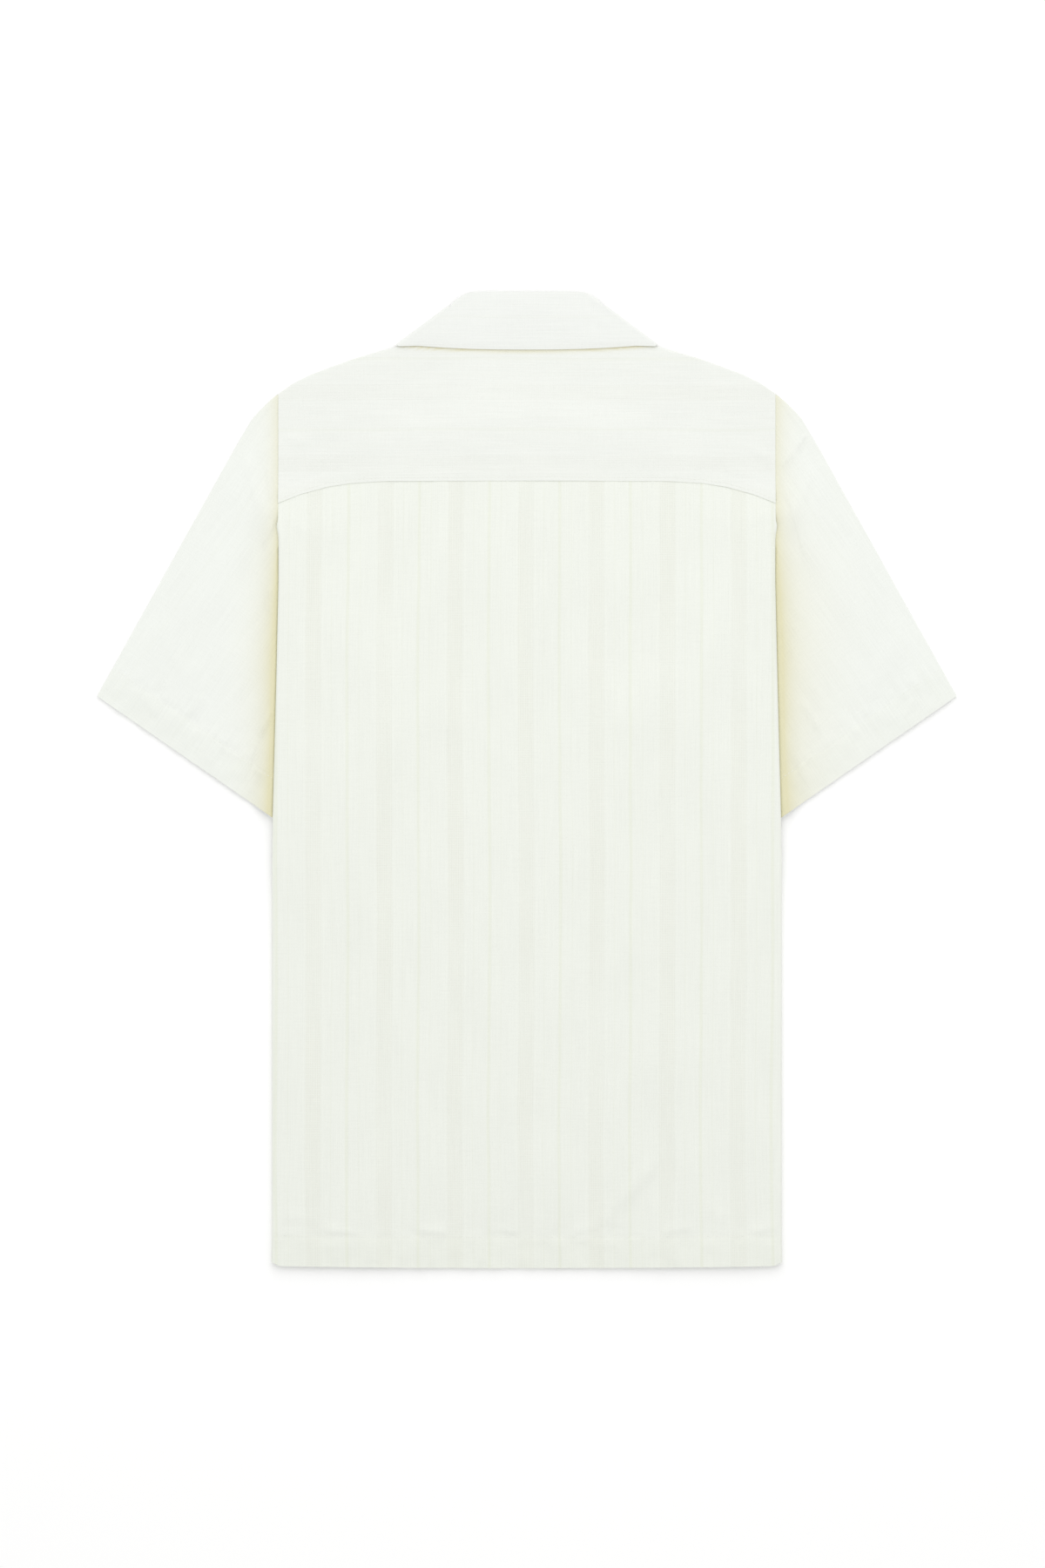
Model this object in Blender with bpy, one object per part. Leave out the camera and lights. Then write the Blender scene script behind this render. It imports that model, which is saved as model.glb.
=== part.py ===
# Short-sleeve shirt with a camp collar, laid flat on its front with its back up.
# The hem is toward -Y, the collar toward +Y, and both sides are tucked under the body.
# Every panel is drawn in a laid space (x, y, level): x and y are plan places in millimetres, and
# level is the height of a ply above or below the middle plane between the back and the fronts.
# Folds turn a ply about a line in that space, and lift() raises the plies over what lies beneath.

import bpy
import bmesh
from bisect import bisect_right
from collections import namedtuple
from math import cos, hypot, pi, radians, sin

MM = 0.001

# Cloth and plies
CLOTH = 1.2
SEAM_GAP = 0.3
PITCH = CLOTH + SEAM_GAP
HALF = CLOTH / 2
BACK_LEVEL = PITCH / 2
FRONT_LEVEL = -PITCH / 2
FALL_LEVEL = 1.5 * PITCH
MIDDLE_HEIGHT = HALF + PITCH / 2
TURN_MEAN = PITCH
TURN_REACH = TURN_MEAN + PITCH / 2 + HALF
SMALL_TURN = PITCH / 2
SMALL_REACH = SMALL_TURN + HALF
STRIP = 0.35

# Body
HEM_Y = -380.5
HEM_SIDE_RISE = 1.8
UNDERARM_Y = 46.0
HEM_RISE_Y = -270.0
SIDE_X = 199.0
PLACKET_HALF = 15.0
SHOULDER_RETURN = 18.0

Edge = namedtuple("Edge", "y half_width")
BODY_EDGE = [
    Edge(HEM_Y, 199.6), Edge(-360.0, 199.0), Edge(-70.0, 199.0), Edge(-29.0, 198.4),
    Edge(78.0, 195.6), Edge(155.0, 193.9), Edge(302.0, 194.1),
]

Tuck = namedtuple("Tuck", "y width")
SIDE_TUCK = [
    Tuck(HEM_Y, 67.0), Tuck(-100.0, 65.0), Tuck(UNDERARM_Y, 62.0), Tuck(62.0, 55.0), Tuck(85.0, 42.0),
    Tuck(112.0, 28.0), Tuck(140.0, 16.0), Tuck(165.0, 8.0), Tuck(185.0, 2.6), Tuck(200.0, 0.0),
]

Seam = namedtuple("Seam", "x y")
YOKE_SEAM = [
    Seam(0.0, 233.6), Seam(112.0, 233.4), Seam(138.0, 231.9), Seam(155.0, 229.3),
    Seam(177.0, 223.2), Seam(190.0, 217.9), Seam(200.0, 214.0),
]

Shoulder = namedtuple("Shoulder", "x y")
SHOULDER_LINE = [
    Shoulder(0.0, 370.0), Shoulder(87.0, 342.6), Shoulder(101.0, 338.4), Shoulder(131.6, 330.1),
    Shoulder(151.0, 323.3), Shoulder(169.0, 316.5), Shoulder(182.6, 309.7), Shoulder(194.0, 301.6),
]

NECK_HALF = 87.0
BACK_NECK = [Seam(0.0, 351.0), Seam(45.0, 350.6), Seam(70.0, 348.6), Seam(87.0, 342.6)]
FRONT_NECK = [
    Seam(31.0, 300.0), Seam(45.0, 307.4), Seam(60.0, 313.8), Seam(75.0, 319.2), Seam(87.4, 323.2),
]

# Lapel, in plan on the wearer's own side of the centre line
BREAK = (-15.0, 205.0)
GORGE = (31.0, 300.0)
NOTCH = (58.0, 292.0)
LAPEL_TIP = (78.0, 266.0)

# Collar, a row for each station of the back half: neck seam, roll and free edge
Station = namedtuple("Station", "neck_x neck_y roll_x roll_y edge_x edge_y")
COLLAR_BACK = [
    Station(0.0, 351.3, 0.0, 381.1, 0.0, 335.4),
    Station(20.0, 351.2, 17.0, 381.1, 22.0, 335.5),
    Station(40.0, 351.0, 32.0, 381.1, 45.0, 336.0),
    Station(58.0, 350.5, 44.0, 380.6, 67.0, 337.1),
    Station(72.0, 350.0, 52.5, 376.6, 85.0, 338.4),
]
COLLAR_SIDE_ROLL = (60.9, 370.9)
COLLAR_CORNER = (102.0, 340.3)
COLLAR_SIDE_NECK = 32.0
COLLAR_FRONT = [
    Station(86.6, 338.0, 53.6, 346.7, 101.4, 324.0),
    Station(75.0, 323.2, 46.0, 331.0, 97.5, 308.0),
    Station(52.0, 313.0, 38.5, 315.5, 92.0, 296.0),
    Station(34.0, 302.6, 31.6, 300.9, 86.0, 288.5),
]

# Sleeve, in plan
SLEEVE_TOP = [
    Seam(194.8, 301.0), Seam(200.6, 296.1), Seam(207.7, 289.3), Seam(213.9, 282.5),
    Seam(226.1, 262.1), Seam(335.6, 65.6),
]
SLEEVE_CLEAR = 0.6
ARMHOLE_LOW_Y = 150.0
ARMHOLE_HIGH_Y = 191.0
CUFF_INNER = (182.2, -40.5)

# Buttons
BUTTON_DIAMETER = 11.0
BUTTON_THICKNESS = 2.0
BUTTON_RIM = 0.5
BUTTON_SIDES = 20
BUTTON_TOP_Y = 180.0
BUTTON_PITCH = 103.0
BUTTON_COUNT = 5

# Colours
BODY_COLOUR = (0.86, 0.88, 0.84)
YOKE_COLOUR = (0.89, 0.90, 0.86)
SLEEVE_COLOUR = (0.88, 0.90, 0.86)
COLLAR_COLOUR = (0.91, 0.92, 0.90)
BUTTON_COLOUR = (0.93, 0.92, 0.88)
CLOTH_ROUGHNESS = 0.85
BUTTON_ROUGHNESS = 0.35

# Soft rises over what lies beneath
RISE_RUN = 30.0
TUCK_TOP_Y = 213.0
TUCK_FULL_Y = 193.0
TUCK_MARGIN = 6.0
TURN_START_Y = 198.0
TURN_FULL_Y = 168.0
COLLAR_FULL_X = 106.0
COLLAR_CLEAR_X = 134.0
COLLAR_FULL_Y = 203.0
COLLAR_CLEAR_Y = 183.0
SLEEVE_MARGIN = 16.0
SLEEVE_FULL_Y = -56.0
SLEEVE_CLEAR_Y = -100.0
CLOSING_FULL_X = 22.0
CLOSING_CLEAR_X = 58.0
CLOSING_FULL_Y = 186.0
CLOSING_CLEAR_Y = 203.0
OVERLAP_FULL_Y = 240.0
OVERLAP_CLEAR_Y = 275.0
BACK_EASE = 1.6
BACK_RIDGE = 2.6
EASE_FULL_X = 100.0
EASE_CLEAR_X = 160.0
RIDGE_FULL_X = 26.0
RIDGE_CLEAR_X = 110.0
EASE_CLEAR_DROP = 40.0
EASE_FULL_DROP = 85.0

# Lattice of the body panels, the same for the back and the fronts so that their plies stay apart
FLANK_X = 90.0
INNER_COLUMNS = 3
FLANK_COLUMNS = 5
TURN_COLUMNS = 4
TUCK_COLUMNS = 3
PanelRow = namedtuple("PanelRow", "middle_y side_y")
PANEL_ROWS = [
    PanelRow(HEM_Y, HEM_Y), PanelRow(HEM_RISE_Y, HEM_RISE_Y), PanelRow(-170.0, -170.0),
    PanelRow(-100.0, -100.0), PanelRow(-56.0, -56.0), PanelRow(-25.0, -25.0), PanelRow(12.0, 12.0),
    PanelRow(UNDERARM_Y, UNDERARM_Y), PanelRow(85.0, 85.0), PanelRow(118.0, 118.0),
    PanelRow(148.0, 148.0), PanelRow(174.0, 174.0), PanelRow(185.0, 183.0), PanelRow(196.0, 192.0),
    PanelRow(215.0, 203.0), PanelRow(226.0, 211.5), PanelRow(233.6, 214.2),
]


def smooth(amount):
    amount = max(0.0, min(1.0, amount))
    return amount * amount * (3 - 2 * amount)


def ramp(value, start, full):
    return smooth((value - start) / (full - start))


def mix(a, b, share):
    return a + (b - a) * share


def between(a, b, share):
    return tuple(mix(p, q, share) for p, q in zip(a, b))


def look_up(table, key):
    """The second column of a two-column table at a value of its first."""
    keys = [row[0] for row in table]
    i = max(1, min(len(keys) - 1, bisect_right(keys, key)))
    share = (key - keys[i - 1]) / (keys[i] - keys[i - 1])
    return mix(table[i - 1][1], table[i][1], max(0.0, min(1.0, share)))


def along(points, share):
    """The plan point at a share of a polyline's length."""
    lengths = [hypot(b[0] - a[0], b[1] - a[1]) for a, b in zip(points, points[1:])]
    left = share * sum(lengths)
    for a, b, length in zip(points, points[1:], lengths):
        if left <= length:
            return between(a[:2], b[:2], left / length)
        left -= length
    return tuple(points[-1][:2])


def body_edge(y):
    return look_up(BODY_EDGE, y)


def tuck_width(y):
    return look_up(SIDE_TUCK, y)


def turn_start(y):
    """Half width at which the plies begin to turn under."""
    return body_edge(y) - TURN_REACH * ramp(y, TURN_START_Y, TURN_FULL_Y)


def tuck_inner(y):
    """Half width that the tucked plies reach back to, seen in plan."""
    return body_edge(y) - tuck_width(y) - 1.0


def sleeve_inner(y):
    """Half width of the sleeve's hidden inner side, at the armhole and along the underarm."""
    if y >= UNDERARM_Y:
        return tuck_inner(y)
    share = (UNDERARM_Y - y) / (UNDERARM_Y - CUFF_INNER[1])
    return mix(tuck_inner(UNDERARM_Y), CUFF_INNER[0], min(1.0, share))


def lift(x, y):
    """Rise of all plies of the body over the collar and lapels, the tucked sides and the sleeves."""
    x = abs(x)
    collar = PITCH * ramp(y, COLLAR_CLEAR_Y, COLLAR_FULL_Y) * ramp(x, COLLAR_CLEAR_X, COLLAR_FULL_X)
    near_top = ramp(y, TUCK_TOP_Y, TUCK_FULL_Y)
    tuck = tuck_inner(y)
    tucked = 2 * PITCH * near_top * ramp(x, tuck - TUCK_MARGIN - RISE_RUN, tuck - TUCK_MARGIN)
    sleeve = sleeve_inner(y)
    low_end = ramp(y, SLEEVE_CLEAR_Y, SLEEVE_FULL_Y)
    side_rise = ramp(x, sleeve - SLEEVE_MARGIN - RISE_RUN, sleeve - SLEEVE_MARGIN)
    sleeved = 2 * PITCH * near_top * low_end * side_rise
    return collar + tucked + sleeved


def button_lift(x, y):
    """Rise of both fronts along the closing, over the row of buttons."""
    across = ramp(abs(x), CLOSING_CLEAR_X, CLOSING_FULL_X)
    return (BUTTON_THICKNESS + SEAM_GAP) * across * ramp(y, CLOSING_CLEAR_Y, CLOSING_FULL_Y)


def overlap_lift(x, y):
    """Rise of the right front over the left one, doubled where a lapel lies between them."""
    plies = 1 + ramp(y, COLLAR_CLEAR_Y, COLLAR_FULL_Y)
    across = ramp(x, CLOSING_CLEAR_X, CLOSING_FULL_X)
    return PITCH * plies * across * ramp(y, OVERLAP_CLEAR_Y, OVERLAP_FULL_Y)


def back_lift(x, y):
    """Ease of the back over the fronts, highest over the closing."""
    x = abs(x)
    ease = BACK_EASE + BACK_RIDGE * ramp(x, RIDGE_CLEAR_X, RIDGE_FULL_X)
    inside_sides = ramp(x, EASE_CLEAR_X, EASE_FULL_X)
    below_neck = ramp(look_up(SHOULDER_LINE, x) - y, EASE_CLEAR_DROP, EASE_FULL_DROP)
    return ease * inside_sides * below_neck


def turned(past, level, centre, mean):
    """A point some way past a fold's start: its plan distance past the start and its new level."""
    if past <= 0:
        return past, level
    radius = level - centre
    angle = min(pi, past / mean)
    return radius * sin(angle) - max(0.0, past - pi * mean), centre + radius * cos(angle)


def side_turned(x, y, level):
    """Tucks a point of the body under at its side."""
    start = turn_start(y)
    past, level = turned(abs(x) - start, level, -PITCH, TURN_MEAN)
    return (start + past) * (1 if x >= 0 else -1), y, level


def raised(point, extra=0.0):
    x, y, level = point
    return x * MM, y * MM, (MIDDLE_HEIGHT + level + lift(x, y) + extra) * MM


def steps(count):
    return [i / count for i in range(count + 1)]


def side_stations(inner, y):
    """Flat half widths of a body panel's columns: to the flank, to the turn, round it and along the
    tucked part."""
    outer = body_edge(y) - SEAM_GAP / 2 + tuck_width(y)
    turn_end = min(turn_start(y) + pi * TURN_MEAN, outer - TUCK_COLUMNS * STRIP)
    turn_begin = min(turn_start(y), turn_end - TURN_COLUMNS * STRIP)
    stations = [mix(inner, FLANK_X, share) for share in steps(INNER_COLUMNS)]
    stations += [mix(FLANK_X, turn_begin, share) for share in steps(FLANK_COLUMNS)[1:]]
    stations += [mix(turn_begin, turn_end, share) for share in steps(TURN_COLUMNS)[1:]]
    stations += [mix(turn_end, outer, share) for share in steps(TUCK_COLUMNS)[1:]]
    return stations


def panel_row_y(row, x):
    """Height in plan of a body panel's row: level in the middle, bent toward the yoke at the side."""
    nominal, side = PANEL_ROWS[row]
    seam_y = look_up(YOKE_SEAM, abs(x))
    if row == len(PANEL_ROWS) - 1:
        return seam_y - SEAM_GAP / 2
    middle_y = YOKE_SEAM[0].y
    seam_bend = (seam_y - middle_y) / (look_up(YOKE_SEAM, SIDE_X) - middle_y)
    hem_rise = HEM_SIDE_RISE * ramp(nominal, HEM_RISE_Y, HEM_Y) * (min(abs(x), SIDE_X) / SIDE_X) ** 2
    return mix(nominal, side, seam_bend) + hem_rise


def cloth_colour(name, colour, roughness):
    material = bpy.data.materials.new(name)
    material.use_nodes = True
    shader = material.node_tree.nodes["Principled BSDF"]
    shader.inputs["Base Color"].default_value = (*colour, 1.0)
    shader.inputs["Roughness"].default_value = roughness
    material.diffuse_color = (*colour, 1.0)
    return material


def add_object(name, bm, colour, roughness=CLOTH_ROUGHNESS):
    bmesh.ops.recalc_face_normals(bm, faces=bm.faces[:])
    mesh = bpy.data.meshes.new(name)
    bm.to_mesh(mesh)
    bm.free()
    mesh.shade_smooth()
    mesh.set_sharp_from_angle(angle=radians(50))
    mesh.materials.append(cloth_colour(name, colour, roughness))
    thing = bpy.data.objects.new(name, mesh)
    bpy.context.collection.objects.link(thing)
    return thing


def split_quads(bm, row_of, column_of, middle):
    """Cuts each quad of both skins the same way, and the same on the left as on the right."""
    for face in bm.faces[:]:
        corners = {(v[row_of], abs(v[column_of] - middle)): v for v in face.verts}
        if len(face.verts) != 4 or len(corners) != 4:
            continue
        low, high = min(r for r, c in corners), max(r for r, c in corners)
        inner, outer = min(c for r, c in corners), max(c for r, c in corners)
        if low != high and inner != outer:
            bmesh.utils.face_split(face, corners[low, outer], corners[high, inner])


def cloth_wall(name, rows, columns, place, colour, closed=False, middle=0):
    """A wall of cloth: a lattice of rows and columns whose two skins place(row, column, side) sets,
    with side -1 or 1. A closed wall joins its last column to its first."""
    bm = bmesh.new()
    bmesh.ops.create_grid(bm, x_segments=columns, y_segments=rows, size=1.0)
    row_of = bm.verts.layers.int.new("row")
    column_of = bm.verts.layers.int.new("column")
    for vert in bm.verts:
        vert[column_of] = round((vert.co.x + 1) / 2 * columns)
        vert[row_of] = round((vert.co.y + 1) / 2 * rows)
    for vert in bm.verts:
        vert.co = place(vert[row_of], vert[column_of], -1)
    if closed:
        bmesh.ops.remove_doubles(bm, verts=bm.verts[:], dist=1e-6)
    skin = bmesh.ops.extrude_face_region(bm, geom=bm.faces[:])["geom"]
    for vert in skin:
        if isinstance(vert, bmesh.types.BMVert):
            vert.co = place(vert[row_of], vert[column_of], 1)
    if not closed:
        split_quads(bm, row_of, column_of, middle)
    return add_object(name, bm, colour)


def back_panel():
    per_side = INNER_COLUMNS + FLANK_COLUMNS + TURN_COLUMNS + TUCK_COLUMNS

    def place(row, column, skin):
        sign = 1 if column >= per_side else -1
        side_y = panel_row_y(row, SIDE_X)
        x = sign * side_stations(0.0, side_y)[abs(column - per_side)]
        y = panel_row_y(row, min(abs(x), SIDE_X))
        point = side_turned(x, y, BACK_LEVEL + skin * HALF)
        return raised(point, back_lift(x, y))

    rows = len(PANEL_ROWS) - 1
    cloth_wall("back_panel", rows, 2 * per_side, place, BODY_COLOUR, middle=per_side)


def yoke():
    main_x = [0.0, 30.0, 60.0, 76.0, NECK_HALF]
    side = side_stations(0.0, BODY_EDGE[-1].y)
    outer_x = side[INNER_COLUMNS:INNER_COLUMNS + FLANK_COLUMNS + 1] + side[-1:]
    half_x = main_x + outer_x
    per_side = len(half_x) - 1
    main, bend, tucked = 4, 3, 2
    rows = main + bend + tucked

    def place(row, column, skin):
        index = abs(column - per_side)
        x = half_x[index] * (1 if column >= per_side else -1)
        bottom = look_up(YOKE_SEAM, abs(x)) + SEAM_GAP / 2
        level = BACK_LEVEL + skin * HALF
        if index < len(main_x):
            top = look_up(BACK_NECK, abs(x))
            turn_begin = top - (bend + tucked) * STRIP
            distance = [mix(bottom, turn_begin, s) for s in steps(main)]
            distance += [turn_begin + STRIP * (i + 1) for i in range(bend + tucked)]
            y = distance[row]
        else:
            begin = look_up(SHOULDER_LINE, abs(x)) - SMALL_REACH
            end = begin + pi * SMALL_TURN
            distance = [mix(bottom, begin, s) for s in steps(main)]
            distance += [mix(begin, end, s) for s in steps(bend)[1:]]
            distance += [mix(end, end + SHOULDER_RETURN, s) for s in steps(tucked)[1:]]
            past, level = turned(distance[row] - begin, level, 0.0, SMALL_TURN)
            y = begin + past
        return raised((x, y, level), back_lift(x, y))

    cloth_wall("yoke", rows, 2 * per_side, place, YOKE_COLOUR, middle=per_side)


# Rows of a front at its closing, where they run under the lapel, and shares of the lapel's length
FRONT_TOP_ROWS = [190.0, 200.0, 203.5, 206.0]
LAPEL_SHARES = [0.0, 0.1, 0.35, 0.65, 1.0]
LEVEL_ROWS_X = 20.0
ROLL_LEAD = 6.0
GORGE_EASE = (-0.6, 0.3)
SIDE_ZONE_X = 148.5


def roll_direction():
    length = hypot(GORGE[0] - BREAK[0], GORGE[1] - BREAK[1])
    return (GORGE[0] - BREAK[0]) / length, (GORGE[1] - BREAK[1]) / length


def roll_turned(x, y, level):
    """Turns a point of the front out over its roll line, under the panel."""
    ux, uy = roll_direction()
    outward = (-uy, ux)
    past_line = (x - BREAK[0]) * outward[0] + (y - BREAK[1]) * outward[1]
    past, new_level = turned(past_line + SMALL_REACH, level, -PITCH, SMALL_TURN)
    if past_line + SMALL_REACH <= 0:
        return x, y, level
    shift = past - SMALL_REACH - past_line
    return x + shift * outward[0], y + shift * outward[1], new_level


def roll_unfolded(point):
    """The flat place of a lapel point that is given as it lies when turned out."""
    ux, uy = roll_direction()
    outward = (-uy, ux)
    inside = -(point[0] - BREAK[0]) * outward[0] - (point[1] - BREAK[1]) * outward[1] - SMALL_REACH
    shift = 2 * inside + pi * SMALL_TURN
    return point[0] + shift * outward[0], point[1] + shift * outward[1]


def front_row_y(row, x):
    """A front's rows follow the back's, but run level to the closing just under the lapel's roll."""
    y = panel_row_y(row, x)
    first = len(PANEL_ROWS) - len(FRONT_TOP_ROWS)
    if row < first:
        return y
    return mix(FRONT_TOP_ROWS[row - first], y, ramp(x, LEVEL_ROWS_X, FLANK_X))


def front(name, side, extra):
    lapel, bend = 2, 3
    ux, uy = roll_direction()
    gorge_start = (GORGE[0] + uy * SMALL_REACH, GORGE[1] - ux * SMALL_REACH)
    gorge_end = (GORGE[0] + GORGE_EASE[0], GORGE[1] + GORGE_EASE[1])
    lapel_top = [gorge_end, roll_unfolded(NOTCH), roll_unfolded(LAPEL_TIP)]
    neck = [gorge_start] + [(p.x, p.y - SEAM_GAP) for p in FRONT_NECK[1:]]
    drop = SMALL_REACH + SHOULDER_RETURN + SEAM_GAP
    body_rows = len(PANEL_ROWS)
    rows = body_rows + len(LAPEL_SHARES) - 2
    panel_start = -PLACKET_HALF + (lapel + bend) * STRIP

    def body_point(row, column):
        if column < lapel + bend:
            return -PLACKET_HALF + column * STRIP, front_row_y(row, 0.0)
        x = side_stations(panel_start, panel_row_y(row, SIDE_X))[column - lapel - bend]
        return x, front_row_y(row, min(x, SIDE_X))

    def top_point(column):
        index = column - lapel - bend
        if index <= INNER_COLUMNS:
            return along(neck, index / INNER_COLUMNS)
        x = side_stations(panel_start, BODY_EDGE[-1].y)[index]
        return x, look_up(SHOULDER_LINE, x) - drop

    def flat(row, column):
        if row < body_rows:
            return body_point(row, column)
        share = LAPEL_SHARES[row - body_rows + 1]
        if column >= lapel + bend:
            return between(body_point(body_rows - 1, column), top_point(column), share)
        axis = between(body_point(body_rows - 1, lapel + bend), gorge_start, share)
        if column < lapel:
            tip = along(lapel_top, 1 - column / lapel)
            return between(body_point(body_rows - 1, column), tip, share)
        near = (lapel + bend - column) * STRIP
        round_roll = (lapel + bend - column) / bend * pi * SMALL_TURN
        away = mix(near, round_roll, min(1.0, share / LAPEL_SHARES[1]))
        return axis[0] - uy * away, axis[1] + ux * away

    def place(row, column, skin):
        x, y = flat(row, column)
        level = FRONT_LEVEL + skin * HALF
        if x > SIDE_ZONE_X:
            x, y, level = side_turned(x, y, level)
        elif y > BREAK[1] - ROLL_LEAD:
            x, y, level = roll_turned(x, y, level)
        return raised((side * x, y, level), extra(side * x, y))

    columns = lapel + bend + INNER_COLUMNS + FLANK_COLUMNS + TURN_COLUMNS + TUCK_COLUMNS
    cloth_wall(name, rows, columns, place, BODY_COLOUR)


def sleeve(name, side):
    across, bend, down = 7, 2, 8
    flat_columns = across + bend
    columns = 2 * flat_columns
    top_edge = list(SLEEVE_TOP)
    cuff_outer = (SLEEVE_TOP[-1].x, SLEEVE_TOP[-1].y)

    def armhole(share):
        y = mix(SLEEVE_TOP[0].y, UNDERARM_Y, share)
        at_edge = ramp(y, ARMHOLE_LOW_Y, ARMHOLE_HIGH_Y)
        return mix(tuck_inner(y), body_edge(y) + SLEEVE_CLEAR, at_edge), y

    def plan(share, down_share):
        a, b = armhole(share), between(cuff_outer, CUFF_INNER, share)
        c, d = along(top_edge, down_share), between(armhole(1.0), CUFF_INNER, down_share)
        corners = (armhole(0.0), armhole(1.0), cuff_outer, CUFF_INNER)
        at_armhole = between(corners[0], corners[1], share)
        at_cuff = between(corners[2], corners[3], share)
        near = between(at_armhole, at_cuff, down_share)
        return tuple(mix(a[i], b[i], down_share) + mix(c[i], d[i], share) - near[i] for i in (0, 1))

    def place(row, column, skin):
        down_share = row / down
        lower = column > flat_columns
        index = column % columns
        if lower:
            index = columns - column
        first, second = plan(0.0, down_share), plan(1.0, down_share)
        radius = SMALL_TURN + skin * HALF
        half_bend = bend / 2
        if half_bend <= index <= flat_columns - half_bend:
            share = (index - half_bend) / across
            inset = SMALL_REACH / hypot(second[0] - first[0], second[1] - first[1])
            x, y = plan(mix(inset, 1 - inset, share), down_share)
            height = MIDDLE_HEIGHT + (-radius if lower else radius)
        else:
            at_top = index < half_bend
            turn = (half_bend - index if at_top else index - flat_columns + half_bend) / half_bend
            angle = pi / 2 * turn
            start, toward = (first, second) if at_top else (second, first)
            length = hypot(toward[0] - start[0], toward[1] - start[1])
            inset = SMALL_REACH / length
            base = plan(inset if at_top else 1 - inset, down_share)
            reach = radius * sin(angle) / length
            x = base[0] - (toward[0] - start[0]) * reach
            y = base[1] - (toward[1] - start[1]) * reach
            height = MIDDLE_HEIGHT + radius * cos(angle) * (-1 if lower else 1)
        return side * x * MM, y * MM, height * MM

    cloth_wall(name, down, columns, place, SLEEVE_COLOUR, closed=True)


def collar():
    dx, dy = COLLAR_CORNER[0] - COLLAR_SIDE_ROLL[0], COLLAR_CORNER[1] - COLLAR_SIDE_ROLL[1]
    length = hypot(dx, dy)
    direction = (dx / length, dy / length)
    outward = (-direction[1], direction[0])
    axis = tuple(COLLAR_SIDE_ROLL[i] - TURN_REACH * outward[i] for i in (0, 1))
    side_neck = tuple(axis[i] + COLLAR_SIDE_NECK * direction[i] for i in (0, 1))
    side_edge = tuple(axis[i] + length * direction[i] for i in (0, 1))
    at_side = (side_neck, axis, side_edge)
    bend = 4
    stations = [(s[0:2], s[2:4], s[4:6]) for s in COLLAR_BACK]
    for share in steps(bend):
        away = share * pi * TURN_MEAN
        stations.append(tuple((p[0] + outward[0] * away, p[1] + outward[1] * away) for p in at_side))

    def unfolded(point):
        inside = -((point[0] - axis[0]) * outward[0] + (point[1] - axis[1]) * outward[1])
        away = 2 * inside + pi * TURN_MEAN
        return point[0] + away * outward[0], point[1] + away * outward[1]

    stations += [tuple(unfolded(p) for p in (s[0:2], s[2:4], s[4:6])) for s in COLLAR_FRONT]
    per_side = len(stations) - 1
    stand, roll, fall = 2, 4, 3
    rows = stand + roll + fall

    def place(row, column, skin):
        index = abs(column - per_side)
        neck, crest, edge = stations[index]
        stand_length = hypot(crest[0] - neck[0], crest[1] - neck[1])
        up = ((crest[0] - neck[0]) / stand_length, (crest[1] - neck[1]) / stand_length)
        begin = tuple(crest[i] - SMALL_REACH * up[i] for i in (0, 1))
        if row <= stand:
            x, y = between(neck, begin, row / stand)
            level = BACK_LEVEL - skin * HALF
        elif row < stand + roll:
            angle = (row - stand) / roll * pi
            radius = SMALL_TURN + skin * HALF
            x = begin[0] + up[0] * radius * sin(angle)
            y = begin[1] + up[1] * radius * sin(angle)
            level = PITCH - radius * cos(angle)
        else:
            x, y = between(begin, edge, (row - stand - roll) / fall)
            level = FALL_LEVEL + skin * HALF
        past_line = (x - axis[0]) * outward[0] + (y - axis[1]) * outward[1]
        if past_line > 0:
            past, level = turned(past_line, level, 0.0, TURN_MEAN)
            x += (past - past_line) * outward[0]
            y += (past - past_line) * outward[1]
        x *= 1 if column >= per_side else -1
        return raised((x, y, level))

    cloth_wall("collar", rows, 2 * per_side, place, COLLAR_COLOUR)


def button(name, y):
    bm = bmesh.new()
    radius = BUTTON_DIAMETER / 2 * MM
    disc = bmesh.ops.create_circle(bm, cap_ends=True, segments=BUTTON_SIDES, radius=radius)
    extruded = bmesh.ops.extrude_face_region(bm, geom=bm.faces[:])["geom"]
    top = [v for v in extruded if isinstance(v, bmesh.types.BMVert)]
    bmesh.ops.translate(bm, verts=top, vec=(0, 0, BUTTON_THICKNESS * MM))
    rims = [e for e in bm.edges if abs(e.verts[0].co.z - e.verts[1].co.z) < 1e-6]
    bmesh.ops.bevel(bm, geom=rims, offset=BUTTON_RIM * MM, segments=2, profile=0.5, affect="EDGES")
    bmesh.ops.translate(bm, verts=bm.verts[:], vec=(0, y * MM, 0))
    add_object(name, bm, BUTTON_COLOUR, roughness=BUTTON_ROUGHNESS)


def right_front_lift(x, y):
    return button_lift(x, y) + overlap_lift(x, y)


def shirt():
    back_panel()
    yoke()
    front("front_left", -1, button_lift)
    front("front_right", 1, right_front_lift)
    sleeve("sleeve_left", -1)
    sleeve("sleeve_right", 1)
    collar()
    for i in range(BUTTON_COUNT):
        button(f"button_{i + 1}", BUTTON_TOP_Y - i * BUTTON_PITCH)


for old in list(bpy.data.objects):
    bpy.data.objects.remove(old, do_unlink=True)
shirt()
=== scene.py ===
from bisect import bisect_right
from functools import lru_cache
from math import cos, exp, hypot, pi, radians, sin

import bmesh
import bpy
from mathutils import Matrix, Vector, noise


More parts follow.
